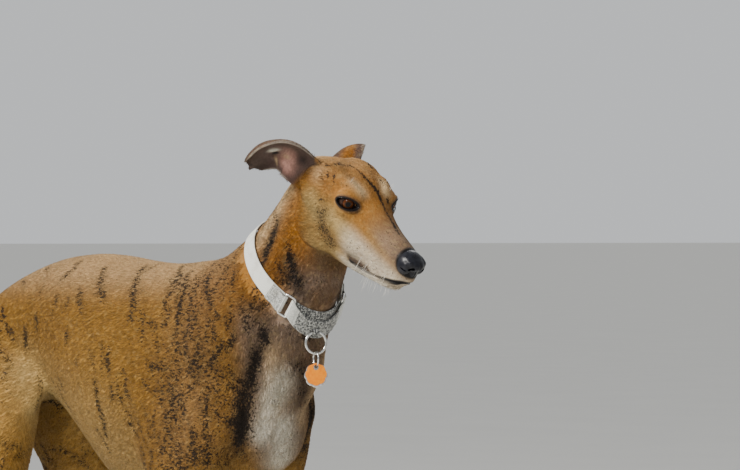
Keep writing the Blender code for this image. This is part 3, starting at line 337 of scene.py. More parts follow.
# Dark stripes that the photograph shows on the right side: half width and points
PHOTO_MARKS = in_metres([
    (4.9, [(-245, -33, 711), (-240, -48, 701), (-253, -62, 684)]),
    (4.3, [(-189, -70, 678), (-158, -88, 644)]),
    (4.3, [(-247, -71, 668), (-233, -79, 652)]),
    (5.8, [(-171, -41, 704), (-138, -70, 675), (-109, -79, 660)]),
    (6.1, [(-97, -26, 704), (-65, -64, 675), (-46, -76, 654), (-43, -85, 634)]),
    (6.1, [(41, -49, 691), (46, -60, 673), (43, -65, 655), (48, -74, 616)]),
    (5.5, [(84, -43, 702), (98, -60, 677), (140, -68, 642)]),
    (4.9, [(-299, -71, 641), (-299, -73, 616)]),
    (5.2, [(-334, -67, 624), (-346, -60, 592)]),
    (5.2, [(-400, -64, 648), (-395, -67, 636)]),
    (4.1, [(-187, -91, 627), (-182, -95, 607)]),
    (4.3, [(-74, -97, 602), (-71, -99, 567)]),
    (4.9, [(-103, -100, 562), (-107, -94, 531), (-109, -83, 503), (-117, -75, 487)]),
    (4.3, [(-7, -34, 700), (47, -59, 675)]),
    (5.2, [(104, -74, 602), (71, -74, 567)]),
    (5.2, [(145, -68, 609), (112, -72, 575)]),
    (5.8, [(168, -63, 622), (149, -67, 603)]),
    (5.2, [(47, -79, 557), (63, -84, 508)]),
    (5.8, [(120, -74, 547), (123, -72, 467)]),
    (5.5, [(99, -81, 510), (106, -81, 461)]),
    (5.2, [(194, -50, 604), (177, -49, 567), (169, -50, 530), (150, -48, 486)]),
    (4.6, [(228, -44, 757), (220, -48, 734), (212, -51, 715)]),
    (3.8, [(250, -43, 739), (254, -35, 702)]),
    (3.8, [(286, -40, 752), (281, -42, 738)]),
])
# Dark lines of the face, in the head's frame
FACE_MARKS = in_metres([
    (1.8, [(-9, -45, 3), (-23, -44, -4), (-33, -46, -11)]),
    (2.4, [(-47, -34, 28), (-44, -20, 31), (-41, -6, 32), (-28, -3, 32)]),
    (3, [(-30, -4, 32), (-15, -2, 30), (5, 5, 20), (28, 5, 8)]),
    (2.3, [(24, 5, 10), (40, 5, 4), (52, 4, 0), (72, 0, -4)]),
    (3, [(-53, -36, 26), (-49, -33, 27.5)]),
    (1.6, [(-35, -34, 26), (-31, -36, 20), (-28, -37, 16)]),
    (1.6, [(-51, -40, 19), (-47, -41, 13), (-44, -41, 8)]),
    (1.6, [(-43, -37, 22), (-39, -38, 16)]),
    (2.2, [(-14, 22, 26), (-10, 22, 26), (-6, 20, 25)]),
    (2.2, [(2, -21.5, 18), (6, -20.5, 14), (9, -20, 10)]),
    (1.9, [(-52, 30, 27), (-46, 26, 29), (-36, 24, 30)]),
    (1.6, [(-60, 8, 29), (-50, 10, 31), (-40, 12, 32)]),
    (1.8, [(-60, -6, 29), (-52, -14, 30), (-46, -22, 30)]),
    (1.6, [(-9, 45, 3), (-24, 45, -6)]),
    (2.2, [(8, 20, 14), (16, 18, 10)]),
    (2.4, [(-60, -46, -12), (-56, -46, -20)]),
    (2.7, [(-70, -46, -28), (-64, -46, -38)]),
])


def take(obj):
    """Make the object the only selected one, and the active one."""
    bpy.ops.object.select_all(action="DESELECT")
    obj.select_set(True)
    bpy.context.view_layer.objects.active = obj
    return obj


def finish_with(obj, kind, **settings):
    """Put one modifier on the object and apply it."""
    take(obj)
    modifier = obj.modifiers.new(kind.lower(), kind)
    for setting, value in settings.items():
        setattr(modifier, setting, value)
    bpy.ops.object.modifier_apply(modifier=modifier.name)
    return obj


def join(name, pieces):
    take(pieces[0])
    for piece in pieces:
        piece.select_set(True)
    bpy.ops.object.join()
    joined = bpy.context.active_object
    joined.name = name
    return joined


def from_bmesh(name, bm):
    bmesh.ops.recalc_face_normals(bm, faces=bm.faces)
    mesh = bpy.data.meshes.new(name)
    bm.to_mesh(mesh)
    bm.free()
    obj = bpy.data.objects.new(name, mesh)
    bpy.context.scene.collection.objects.link(obj)
    return obj


def along(rows, count):
    """The rows read at even steps along a smooth curve through them."""
    rows = np.array(rows, float)
    steps = np.linalg.norm(np.diff(rows[:, :3], axis=0), axis=1)
    at_row = np.concatenate([[0.0], np.cumsum(steps)])
    slopes = np.gradient(rows, at_row, axis=0)
    at = np.linspace(0, at_row[-1], count)
    k = np.clip(np.searchsorted(at_row, at, side="right") - 1, 0, len(rows) - 2)
    span = (at_row[k + 1] - at_row[k])[:, None]
    t = (at - at_row[k])[:, None] / span
    return (
        (1 + 2 * t) * (1 - t) ** 2 * rows[k]
        + t * (1 - t) ** 2 * span * slopes[k]
        + t * t * (3 - 2 * t) * rows[k + 1]
        + t * t * (t - 1) * span * slopes[k + 1]
    )


def ring_of(middle, first, second, size, count):
    """Points round a middle, in the plane of two directions."""
    turns = [math.tau * k / count for k in range(count)]
    return [middle + (first * math.cos(turn) + second * math.sin(turn)) * size for turn in turns]


def skin_rings(name, rings):
    """A closed body from rings of points, each with as many points as the next, capped at both ends."""
    bm = bmesh.new()
    loops = [[bm.verts.new(point) for point in ring] for ring in rings]
    for first, second in zip(loops, loops[1:]):
        for i in range(len(first)):
            bm.faces.new((first[i], first[i - 1], second[i - 1], second[i]))
    bm.faces.new(loops[0])
    bm.faces.new(loops[-1])
    return from_bmesh(name, bm)


def loft(name, rows, rings=40, sides=32, upright=False):
    """A closed body through sections, each with its rise above the path and its drop below it."""
    rows = along(rows, rings)
    tangents = np.gradient(rows[:, :3], axis=0)
    loops = []
    for (x, y, z, half, rise, drop, keel), tangent in zip(rows, tangents):
        ahead = Vector((1, 0, 0)) if upright else Vector(tangent).normalized()
        up = ahead.cross(Vector((0, 1, 0))).normalized()
        side = up.cross(ahead)
        loop = []
        for i in range(sides):
            angle = math.tau * i / sides
            c, s = math.cos(angle), math.sin(angle)
            width = half * (1 - keel * max(0.0, -s) ** 1.5)
            height = rise if s > 0 else drop
            loop.append(Vector((x, y, z)) + side * (width * c) + up * (height * s))
        loops.append(loop)
    return skin_rings(name, loops)


def profile_rows(table):
    """Rows for loft() from a table of x, top, bottom, height of the widest place, half width, narrowing."""
    return [(x, 0.0, wide, half, top - wide, wide - low, keel) for x, top, low, wide, half, keel in table]


def on_side(rows, side):
    return [(row[0], row[1] * side, *row[2:]) for row in rows]


def mass(middle, radii, tilt=0.0, turn=0.0, side=LEFT, segments=24):
    """An ellipsoid of muscle, bone or pad, tilted about Y and turned about Z."""
    x, y, z = middle
    bpy.ops.mesh.primitive_uv_sphere_add(
        segments=segments,
        ring_count=segments * 2 // 3,
        location=(x, y * side, z),
        rotation=(0.0, math.radians(tilt), math.radians(turn * side)),
        scale=radii,
    )
    bpy.ops.object.transform_apply(location=True, rotation=True, scale=True)
    return bpy.context.active_object


def masses(table, side):
    return [mass(middle, radii, *angles, side=side) for middle, radii, *angles in table]


def fuse(name, pieces, voxel, passes):
    """The pieces as one smooth body."""
    body = join(name, pieces)
    finish_with(body, "REMESH", mode="VOXEL", voxel_size=voxel)
    return finish_with(body, "SMOOTH", factor=0.5, iterations=passes)


def toe(side, foot_x, foot_y, offset, reach, radius):
    """One arched toe, from the instep over the knuckle to the tip."""
    y = foot_y + offset
    splay = offset * 0.16
    rows = [
        (foot_x + 0.000, foot_y + offset * 0.62, 0.0405, radius * 0.85, radius * 0.85, radius, 0.0),
        (foot_x + 0.016, foot_y + offset * 0.86, 0.0385, radius, radius * 0.95, radius, 0.0),
        (foot_x + 0.033, y, 0.0325, radius * 1.06, radius * 1.05, radius * 1.1, 0.0),
        (foot_x + 0.045 + reach, y + splay * 0.5, 0.0225, radius * 0.98, radius * 1.05, radius, 0.0),
        (foot_x + 0.054 + reach, y + splay, 0.0135, radius * 0.80, radius * 0.86, radius * 0.75, 0.0),
    ]
    return loft("toe", on_side(rows, side), rings=16, sides=16)


def paw(side, foot_x, foot_y, size):
    """Toes and pads of one foot, sunk a little below the floor."""
    pieces = []
    for offset, reach in TOES:
        pieces.append(toe(side, foot_x, foot_y, offset * size, reach, 0.0094 * size))
        pad = (foot_x + 0.045 + reach, foot_y + offset * size * 1.08, 0.0062)
        pieces.append(mass(pad, (0.0125, 0.0080 * size, 0.0080), side=side))
    pieces.append(mass((foot_x + 0.0155, foot_y, 0.0090), (0.0155, 0.0180 * size, 0.0105), side=side))
    pieces.append(mass((foot_x + 0.007, foot_y, 0.0300), (0.0145, 0.0165 * size, 0.0190), side=side))
    pieces.append(mass((foot_x + 0.028, foot_y, 0.0200), (0.0310, 0.0250 * size, 0.0110), 4, side=side))
    return pieces


def trunk_form():
    pieces = [loft("trunk", profile_rows(TORSO), rings=70, sides=48, upright=True)]
    pieces.append(loft("neck_form", NECK, rings=40, sides=40))
    for side in (RIGHT, LEFT):
        pieces.append(loft("upper_arm", on_side(UPPER_ARM, side), rings=40, sides=32))
        pieces.append(loft("thigh_form", on_side(THIGH, side), rings=50, sides=32))
        pieces.extend(masses(TRUNK_MASSES, side))
    return fuse("trunk_form", pieces, BODY_VOXEL, 36)


def body_form():
    pieces = [trunk_form(), loft("tail_form", TAIL, rings=60, sides=16)]
    for side in (RIGHT, LEFT):
        pieces.append(loft("foreleg_form", on_side(FORELEG, side), rings=60, sides=24))
        pieces.append(loft("hindleg_form", on_side(HINDLEG, side), rings=70, sides=24))
        pieces.append(loft("achilles", on_side(ACHILLES, side), rings=24, sides=16))
        pieces.extend(masses(LIMB_MASSES, side))
    return fuse("body_form", pieces, LIMB_VOXEL, 12)


def head_form():
    pieces = [
        loft("skull", profile_rows(SKULL), rings=60, sides=40, upright=True),
        loft("jaw", profile_rows(JAW), rings=40, sides=32, upright=True),
    ]
    for side in (RIGHT, LEFT):
        pieces.extend(masses(SKULL_MASSES, side))
    pieces = [fuse("skull_form", pieces, HEAD_VOXEL, 40)]
    for side in (RIGHT, LEFT):
        pieces.extend(masses(FACE_MASSES, side))
    return to_head(fuse("head_form", pieces, HEAD_VOXEL, 14))


def to_head(obj):
    obj.data.transform(HEAD)
    return obj


def whole_form():
    pieces = [body_form(), head_form()]
    for side in (RIGHT, LEFT):
        pieces.extend(paw(side, *FORE_FOOT) + paw(side, *HIND_FOOT))
    return fuse("skin", pieces, FINE, 6)


def numbers(items, key, size=3, kind=np.float32):
    """A named value of all of a mesh's parts as one array."""
    data = np.empty(len(items) * size, kind)
    items.foreach_get(key, data)
    return data.reshape(-1, size) if size > 1 else data


def points_of(obj):
    return numbers(obj.data.vertices, "co").astype(float)


def normals_of(obj):
    return numbers(obj.data.vertex_normals, "vector").astype(float)


def put_points(obj, points):
    obj.data.vertices.foreach_set("co", points.astype(np.float32).ravel())
    obj.data.update()


def in_head(points):
    """Points of the modelling frame in the head's own frame."""
    turned = np.array(HEAD.inverted())
    return points @ turned[:3, :3].T + turned[:3, 3]


def ease(value, low, high):
    """0 below low, 1 above high, and smooth between them."""
    t = np.clip((np.asarray(value) - low) / (high - low), 0.0, 1.0)
    return t * t * (3 - 2 * t)


def hump(value, middle, width):
    return np.exp(-(((value - middle) / width) ** 2))


def ripple(points, size, seed):
    """Smooth unevenness from -1 to 1, with its swellings about the given size apart."""
    draw = np.random.default_rng(seed)
    value = np.zeros(len(points))
    for _ in range(9):
        way = draw.normal(size=3)
        way *= math.tau * draw.uniform(0.6, 1.5) / (size * np.linalg.norm(way))
        value += np.sin(points @ way + draw.uniform(0, math.tau))
    return np.clip(value / 4.0, -1, 1)


def to_line(points, line):
    """How far each point is from a bent line, and how far along the line its nearest place is, from 0 to 1."""
    line = np.asarray(line, float)
    sizes = np.linalg.norm(np.diff(line, axis=0), axis=1)
    best = np.full(len(points), 9.0)
    share = np.zeros(len(points))
    start = 0.0
    for a, b, size in zip(line, line[1:], sizes):
        t = np.clip((points - a) @ (b - a) / (size * size), 0, 1)
        far = np.linalg.norm(points - a - t[:, None] * (b - a), axis=1)
        closer = far < best
        best[closer] = far[closer]
        share[closer] = (start + t[closer] * size) / sizes.sum()
        start += size
    return best, share


def front_tree(obj):
    """The surface of the head and the neck, for finding places on it. The fused form is all squares."""
    points = points_of(obj)
    corners = numbers(obj.data.loops, "vertex_index", 1, np.int32).reshape(-1, 4)
    near = (points[:, 0] > 0.10) & (points[:, 2] > 0.60)
    faces = corners[near[corners].all(axis=1)]
    used, order = np.unique(faces, return_inverse=True)
    return BVHTree.FromPolygons(points[used].tolist(), order.reshape(faces.shape).tolist())


def mouth_line(tree):
    """The line between the lips in the head's frame, from the right corner round to the left one."""
    right = []
    for x, z, angle in MOUTH:
        out = Vector((math.cos(math.radians(angle)), -math.sin(math.radians(angle)), 0.0))
        found = tree.ray_cast(HEAD @ Vector((x, 0.0, z)), HEAD.to_3x3() @ out)[0]
        right.append(HEAD.inverted() @ found)
    left = [Vector((point.x, -point.y, point.z)) for point in reversed(right[:-1])]
    return along([(*point, 0.0) for point in right + left], 90)[:, :3]


def almond(side, length, rise, fall, forward, count):
    """Points of an almond in the plane of the lids, as ways from the middle of the eyeball in the head's frame."""
    inward = Vector((math.sin(LIDS_OUT), -math.cos(LIDS_OUT) * side, 0.0))
    points = []
    for i in range(count):
        angle = math.tau * i / count
        height = (rise if math.sin(angle) > 0 else fall) * math.sin(angle) * abs(math.sin(angle)) ** 0.25
        points.append(inward * (length / 2 * math.cos(angle) + forward) + Vector((0, 0, height)))
    return points


def eye_middle(side):
    return Vector((EYE_AT[0], EYE_AT[1] * side, EYE_AT[2]))


def lids_out(side):
    return Vector((math.cos(LIDS_OUT), math.sin(LIDS_OUT) * side, 0.0))


def lid_edge(tree, side, count=48):
    """Where the opening between the lids meets the skin, in the head's frame."""
    edge = []
    for point in almond(side, *EYE_OPENING, count):
        start = HEAD @ (eye_middle(side) + point + lids_out(side) * 0.05)
        found = tree.ray_cast(start, HEAD.to_3x3() @ -lids_out(side))[0]
        edge.append(HEAD.inverted() @ found)
    return edge


def face_relief(spots, lips, lids):
    """How far the face stands out from its form: lips, lids, the furrow of the forehead, folds and cheeks."""
    side_on = spots * (1, -1, 1)
    lift = np.zeros(len(spots))
    far, share = to_line(spots, lips)
    ends = ease(np.minimum(share, 1 - share), 0.0, 0.05)
    lift -= 0.0019 * hump(far, 0, 0.0012) * (0.5 + 0.5 * ends)
    above = ease(spots[:, 2], -0.075, -0.045)
    lift += (0.0004 + 0.0003 * above) * hump(far, 0.0036, 0.0018)
    for points in (spots, side_on):
        for height, width, line in FACE_FOLDS:
            far, _ = to_line(points, line)
            lift += height * hump(far, 0, width)
    furrow = [(-0.070, 0.0, 0.030), (-0.030, 0.0, 0.034), (0.000, 0.0, 0.026), (0.022, 0.0, 0.014)]
    far, share = to_line(spots, furrow)
    lift -= 0.0012 * hump(far, 0, 0.0055) * ease(share, 0.0, 0.3) * ease(1 - share, 0.0, 0.3)
    for lid in lids:
        far, _ = to_line(spots, lid + lid[:1])
        lift += 0.0007 * hump(far, 0.0024, 0.0014)
        lift -= 0.0006 * hump(far, 0.0058, 0.0013) * ease(spots[:, 2], 0.0, 0.010)
        lift -= 0.0004 * hump(far, 0.0052, 0.0014) * ease(-spots[:, 2], -0.004, 0.004)
    return lift


def body_relief(spots):
    """Tendons, veins and the drawn-in lines of muscle on the trunk and legs."""
    mirrored = np.stack([spots[:, 0], -np.abs(spots[:, 1]), spots[:, 2]], axis=1)
    lift = np.zeros(len(spots))
    for depth, width, line in MUSCLE_LINES:
        near = np.abs(mirrored - np.mean(line, axis=0)).max(axis=1) < 0.25
        far, share = to_line(mirrored[near], line)
        ends = ease(share, 0.0, 0.25) * ease(1 - share, 0.0, 0.25)
        lift[near] += depth * hump(far, 0, width) * (0.3 + 0.7 * ends)
    return lift


def shape_skin(skin, lips, lids):
    """Sink the form by the depth of the coat and give it its finer shapes, with flat soles on the floor."""
    points, out = points_of(skin), normals_of(skin)
    spots = in_head(points)
    heading = ease(points[:, 0], 0.255, 0.290) * ease(points[:, 2], 0.66, 0.70)
    lift = -COAT_DEPTH + (COAT_DEPTH - FACE_DEPTH) * heading + body_relief(points)
    face = (points[:, 0] > 0.24) & (points[:, 2] > 0.64)
    lift[face] += face_relief(spots[face], lips, lids)
    points += out * lift[:, None]
    points[:, 2] = np.maximum(points[:, 2], 0.0004)
    put_points(skin, points)


def thin_out(skin):
    """Fewer, larger triangles everywhere but on the head."""
    points = points_of(skin)
    head = (points[:, 0] > 0.275) & (points[:, 2] > 0.68)
    group = skin.vertex_groups.new(name="body")
    group.add(np.flatnonzero(~head).tolist(), 1.0, "REPLACE")
    total = 2 * len(skin.data.polygons)
    inside = 2 * int((~head).sum())
    ratio = (total - inside + SKIN_TRIANGLES - 2 * int(head.sum())) / total
    finish_with(skin, "DECIMATE", ratio=ratio, vertex_group="body", use_collapse_triangulate=True)
    skin.vertex_groups.clear()


def mend(obj):
    """Close any small hole that a cut has left, and turn all the faces outward."""
    bm = bmesh.new()
    bm.from_mesh(obj.data)
    rim = [edge for edge in bm.edges if edge.is_boundary]
    if rim:
        filled = bmesh.ops.holes_fill(bm, edges=rim, sides=0)["faces"]
        bmesh.ops.triangulate(bm, faces=filled)
    if bm.calc_volume(signed=True) < 0:
        bmesh.ops.reverse_faces(bm, faces=bm.faces)
    bm.to_mesh(obj.data)
    bm.free()
    return obj


def cut(obj, cutters):
    """The body less every cutter."""
    tool = join("cutters", cutters)
    finish_with(obj, "BOOLEAN", operation="DIFFERENCE", solver="EXACT", object=tool)
    bpy.data.objects.remove(tool)
    return mend(obj)


def add_to(obj, pieces):
    """The body grown together with every piece. The pieces go on in one step, which leaves no hole."""
    tool = join("added", pieces)
    finish_with(obj, "BOOLEAN", operation="UNION", solver="EXACT", object=tool)
    bpy.data.objects.remove(tool)
    return mend(obj)


def lid_opening(side, near=0.0055, far=0.034, count=48):
    """An almond prism that opens the lids in front of the eyeball."""
    points = [eye_middle(side) + point for point in almond(side, *EYE_OPENING, count)]
    out = lids_out(side)
    rings = [[point + out * near for point in points], [point + out * far for point in points]]
    return to_head(skin_rings("lid_opening", rings))


def ear_path(side, rings):
    """The back of the cup along the ear, the way its cup faces, its widths, and across it, all in the head's
    frame."""
    rows = along(EAR, rings)
    root = EAR[0][1]
    path = [Vector((x, (root + (y - root) * EAR_SPREAD[side]) * side, z)) for x, y, z in rows[:, :3]]
    first_faces, last_faces = (Vector((x, y * side, z)) for x, y, z in EAR_FACES)
    made = []
    for i, (point, sizes) in enumerate(zip(path, rows[:, 3:])):
        sizes[1:3] *= 1 - 0.82 * float(ease(i / (rings - 1), 0.84, 1.0))
        ahead = (path[min(i + 1, rings - 1)] - path[max(i - 1, 0)]).normalized()
        faces = first_faces.lerp(last_faces, i / (rings - 1))
        opening = (faces - ahead * faces.dot(ahead)).normalized()
        across = ahead.cross(opening)
        made.append((point, opening, across if across.z > 0 else -across, sizes))
    return made


def ear_fold(along_ear, across_ear):
    """How far the inside of an ear stands out from the flap: the rolled upper rim, the folds of the cup, and the
    small pocket on its lower edge."""
    def swell(height, s, u, long, wide):
        return height * math.exp(-(((along_ear - s) / long) ** 2) - ((across_ear - u) / wide) ** 2)

    lift = swell(0.0016, 0.50, 0.74, 0.28, 0.17)
    lift += swell(0.0030, 0.38, -0.36, 0.10, 0.20)
    lift += swell(0.0014, 0.46, -0.62, 0.05, 0.22)
    lift += swell(0.0026, 0.55, 0.11, 0.07, 0.055)
    lift += swell(0.0018, 0.60, -0.22, 0.035, 0.16)
    return lift + swell(0.0012, 0.20, 0.45, 0.08, 0.12) + swell(0.0012, 0.24, -0.05, 0.05, 0.14)


def ear(side, rings=64, arc=45):
    """A folded-back ear: a cup of thin skin, folded inside, which opens forward and outward."""
    loops = []
    for i, (point, opening, across, (wide, upper, lower, thick)) in enumerate(ear_path(side, rings)):
        radius = wide * EAR_WIDTH[side] / 2
        centre = point + opening * radius
        loop = []
        for outer, order in ((True, 1), (False, -1)):
            for k in range(arc)[::order]:
                share = 2 * k / (arc - 1) - 1
                angle = (upper if share > 0 else lower) * share
                thin = thick * (1 - 0.45 * abs(share) ** 3)
                far = radius if outer else radius - thin - ear_fold(i / (rings - 1), share)
                arm = across * math.sin(angle) - opening * math.cos(angle)
                loop.append(centre + arm * far)
        loops.append(loop)
    return to_head(skin_rings("ear", loops))


def blend_ear_roots(skin):
    """Soften the fold where each ear grows out of the head."""
    points = in_head(points_of(skin))
    root = np.zeros(len(points))
    for side in (RIGHT, LEFT):
        for point, opening, _, sizes in ear_path(side, 40)[:5]:
            middle = np.array(point + opening * sizes[0] * EAR_WIDTH[side] * 0.25)
            root = np.maximum(root, 1 - np.linalg.norm(points - middle, axis=1) / 0.030)
    group = skin.vertex_groups.new(name="ear_roots")
    for i in np.flatnonzero(root > 0.02).tolist():
        group.add([i], min(1.0, 2.0 * float(root[i])), "REPLACE")
    finish_with(skin, "SMOOTH", factor=0.5, iterations=9, vertex_group="ear_roots")
    skin.vertex_groups.clear()


def nose_masses():
    pieces = [
        mass((0.1030, 0.0, -0.0210), (0.0170, 0.0145, 0.0122), 6, segments=32),
        mass((0.1105, 0.0, -0.0198), (0.0122, 0.0112, 0.0080), 12, segments=32),
        mass((0.1065, 0.0, -0.0300), (0.0102, 0.0088, 0.0118), segments=32),
    ]
    for side in (RIGHT, LEFT):
        pieces.append(mass((0.1010, 0.0088, -0.0255), (0.0152, 0.0078, 0.0128), 0, 10, side, 32))
        pieces.append(mass((0.1060, 0.0074, -0.0190), (0.0125, 0.0074, 0.0072), 8, 6, side, 32))
    return pieces


def nose():
    """The leather of the nose: a groove down the middle, and two nostrils that curl back into slits."""
    leather = fuse("nose_leather", nose_masses(), 0.0006, 14)
    points, out = points_of(leather), normals_of(leather)
    front = ease(points[:, 0], 0.108, 0.116)
    lift = -0.0011 * np.exp(-((points[:, 1] / 0.0010) ** 2)) * front * ease(-points[:, 2], 0.014, 0.022)
    for side in (RIGHT, LEFT):
        rim = [(0.1165, 0.0035 * side, -0.0175), (0.1150, 0.0105 * side, -0.0165), (0.1120, 0.0145 * side, -0.0215)]
        far, _ = to_line(points, rim)
        lift += 0.0006 * hump(far, 0, 0.0022)
    put_points(leather, points + out * lift[:, None])
    nostrils = []
    for side in (RIGHT, LEFT):
        nostrils.append(mass((0.1165, 0.0062, -0.0238), (0.0060, 0.0026, 0.0027), 10, 24, side, 32))
        nostrils.append(mass((0.1148, 0.0092, -0.0256), (0.0050, 0.0028, 0.0019), 16, 34, side, 32))
        nostrils.append(mass((0.1095, 0.0138, -0.0276), (0.0078, 0.0044, 0.0011), 14, 40, side, 32))
    cut(leather, [fuse("nostrils", nostrils, 0.0004, 3)])
    finish_with(leather, "SMOOTH", factor=0.5, iterations=2)
    return to_head(leather)


def nose_socket():
    socket = fuse("nose_socket", nose_masses(), 0.0012, 6)
    return to_head(finish_with(socket, "DISPLACE", strength=-0.0004, mid_level=0.0))


def whole_skin():
    """The dog's one skin, from the nose to the tip of the tail, and what is needed to fit the rest to it."""
    skin = whole_form()
    tree = front_tree(skin)
    lips = mouth_line(tree)
    lids = [lid_edge(tree, side) for side in (RIGHT, LEFT)]
    shape_skin(skin, lips, lids)
    thin_out(skin)
    mend(skin)
    cut(skin, [lid_opening(side) for side in (RIGHT, LEFT)])
    cut(skin, [nose_socket()])
    add_to(skin, [ear(side) for side in (RIGHT, LEFT)])
    blend_ear_roots(skin)
    return skin, tree, lips, lids


def unwrap(skin):
    take(skin)
    bpy.ops.object.mode_set(mode="EDIT")
    bpy.ops.mesh.select_all(action="SELECT")
    bpy.ops.mesh.quads_convert_to_tris()
    bpy.ops.uv.smart_project(angle_limit=1.15, island_margin=0.002)
    bpy.ops.object.mode_set(mode="OBJECT")
    skin.data.uv_layers[0].name = "unwrap"
    bpy.ops.object.shade_smooth()


def srgb(red, green, blue):
    """A paint colour, as the linear light that the shaders use."""
    value = np.array((red, green, blue)) / 255
    return np.where(value <= 0.04045, value / 12.92, ((value + 0.055) / 1.055) ** 2.4)


GOLD = srgb(122, 86, 26)
ORANGE = srgb(132, 82, 14)
TAWNY = srgb(140, 105, 62)
SAND = srgb(158, 122, 60)
CREAM = srgb(164, 140, 90)
PALE = srgb(198, 170, 128)
HOAR = srgb(198, 192, 176)
DUSK = srgb(64, 52, 44)
MAUVE = srgb(112, 96, 84)
# Dark of the stripes, which also paints the shade that is carried in their field.
STRIPE_AND_SHADE = srgb(26, 20, 16)
SOOT = srgb(14, 12, 12)
EAR_GREY = srgb(72, 58, 54)
EAR_PINK = srgb(164, 122, 108)


def lay(tone, colour, share):
    """Paint a colour over the coat, as strongly as its share says at each place."""
    tone += np.clip(share, 0, 1)[:, None] * (colour - tone)


def patch(points, width, *line):
    """1 along a line or round one place, fading out over the given width, both in millimetres."""
    line, width = np.array(line, float) / 1000, width / 1000
    near = (points > line.min(axis=0) - 2.4 * width).all(axis=1)
    near &= (points < line.max(axis=0) + 2.4 * width).all(axis=1)
    value = np.zeros(len(points))
    if len(line) == 1:
        far = np.linalg.norm(points[near] - line[0], axis=1)
    else:
        far, _ = to_line(points[near], line)
    value[near] = hump(far, 0, width)
    return value


def deepest_mark(points, marks, reach=0.006):
    """How deep inside the nearest dark mark each place lies, in metres, and less than nothing outside it."""
    depth = np.full(len(points), -reach)
    order = np.argsort(points[:, 0])
    sorted_x = points[order, 0]
    for half, line in marks:
        line = np.asarray(line, float)
        low, high = line.min(axis=0) - half - reach, line.max(axis=0) + half + reach
        first, last = np.searchsorted(sorted_x, (low[0], high[0]))
        some = order[first:last]
        near = some[((points[some, 1:] > low[1:]) & (points[some, 1:] < high[1:])).all(axis=1)]
        if len(near):
            far, share = to_line(points[near], line)
            taper = 0.35 + 0.65 * np.sqrt(4 * share * (1 - share))
            depth[near] = np.maximum(depth[near], half * taper - far)
    return depth


def broken_stripes(points, out):
    """Short dark dashes scattered over the coat, across the lie of the hair, thicker on the shoulder."""
    draw = np.random.default_rng(41)
    x, _, z = points.T
    wanted = 0.35 + 1.6 * hump(x, 0.07, 0.07) * ease(z, 0.40, 0.46) + 0.5 * ease(-x, 0.36, 0.46)
    wanted *= ease(z, 0.12, 0.30) * (1 - ease(z, 0.69, 0.72)) + 0.8 * ease(x, 0.10, 0.16) * ease(z, 0.60, 0.66)
    wanted *= (1 - ease(x, 0.24, 0.27)) * (out[:, 2] > -0.5)
    wanted *= 1 - 0.95 * ease(x, 0.15, 0.18) * (1 - ease(z, 0.60, 0.64))
    chosen = draw.choice(len(points), 900, replace=False, p=wanted / wanted.sum())
    across = np.cross(out[chosen], lie(points[chosen], out[chosen]))
    across *= np.where(across[:, 2:] > 0, -1, 1)
    marks = []
    for place, way, normal in zip(points[chosen], across, out[chosen]):
        along_way = way + 0.35 * draw.normal(size=3)
        along_way -= normal * along_way.dot(normal)
        size = draw.uniform(0.006, 0.026) * along_way / np.linalg.norm(along_way)
        bend = np.cross(normal, size) * draw.uniform(-0.35, 0.35)
        marks.append((draw.uniform(0.0012, 0.0038), [place - size, place + bend, place + size]))
    return marks


def hind_bars():
    """Long broken bars over the rump and the thighs, down to the hock, and round the tail."""
    draw = np.random.default_rng(17)
    marks = []
    for side in (RIGHT, LEFT):
        for x in np.arange(-0.545, -0.345, 0.026):
            top = draw.uniform(0.62, 0.66)
            line = []
            for k in range(5):
                z = top - k * draw.uniform(0.022, 0.032)
                half = 0.072 + 0.028 * ease(0.62 - z, 0.0, 0.08)
                level = half * math.sqrt(max(0.1, 1 - ((x + 0.44) / 0.125) ** 2))
                line.append((x + draw.uniform(-0.006, 0.006) - 0.004 * k, side * level, z))
            marks.append((draw.uniform(0.0016, 0.0038), line[:2]))
            marks.append((draw.uniform(0.0020, 0.0042), line[2:]))
        for z in np.arange(0.15, 0.36, 0.030):
            row = min(HINDLEG, key=lambda sizes: abs(sizes[2] - z))
            start, end = draw.uniform(-0.9, -0.2), draw.uniform(0.6, 1.3)
            line = []
            for k in range(4):
                angle = start + (end - start) * k / 3
                forward = math.sin(angle) * (row[4] if angle > 0 else row[5])
                line.append((row[0] + forward, side * (row[1] + row[3] * math.cos(angle)), z - 0.004 * k))
            marks.append((draw.uniform(0.0012, 0.0026), line))
    return marks


def ear_places(spots, out):
    """Which places are on an ear, how far along it (0 to 1) and across it (-1 to 1), and whether on its inside.
    The places and directions are in the head's frame."""
    count = len(spots)
    on, along_ear, across_ear, inside = np.zeros(count), np.zeros(count), np.zeros(count), np.zeros(count, bool)
    for side in (RIGHT, LEFT):
        flap = []
        rings = ear_path(side, 64)
        for i, (point, opening, across, (wide, upper, lower, thick)) in enumerate(rings):
            radius = wide * EAR_WIDTH[side] / 2
            for share in np.linspace(-1, 1, 45):
                angle = (upper if share > 0 else lower) * share
                arm = across * math.sin(angle) - opening * math.cos(angle)
                place = point + opening * radius + arm * (radius - thick / 2)
                flap.append((*place, i / (len(rings) - 1), share, *arm))
        flap = np.array(flap)
        places = KDTree(len(flap))
        for number, place in enumerate(flap[:, :3].tolist()):
            places.insert(place, number)
        places.balance()
        near = np.flatnonzero((spots[:, 1] * side > 0.008) & (spots[:, 0] < -0.066) & (spots[:, 2] > -0.048))
        found = [places.find(place)[1:] for place in spots[near].tolist()]
        if not found:
            continue
        number, far = np.array(found).T
        row = flap[number.astype(int)]
        on[near] = (1 - ease(far, 0.0040, 0.0062)) * ease(row[:, 3], 0.04, 0.14)
        along_ear[near], across_ear[near] = row[:, 3], row[:, 4]
        inside[near] = np.einsum("nj,nj->n", row[:, 5:], out[near]) < 0
    return on, along_ear, across_ear, inside


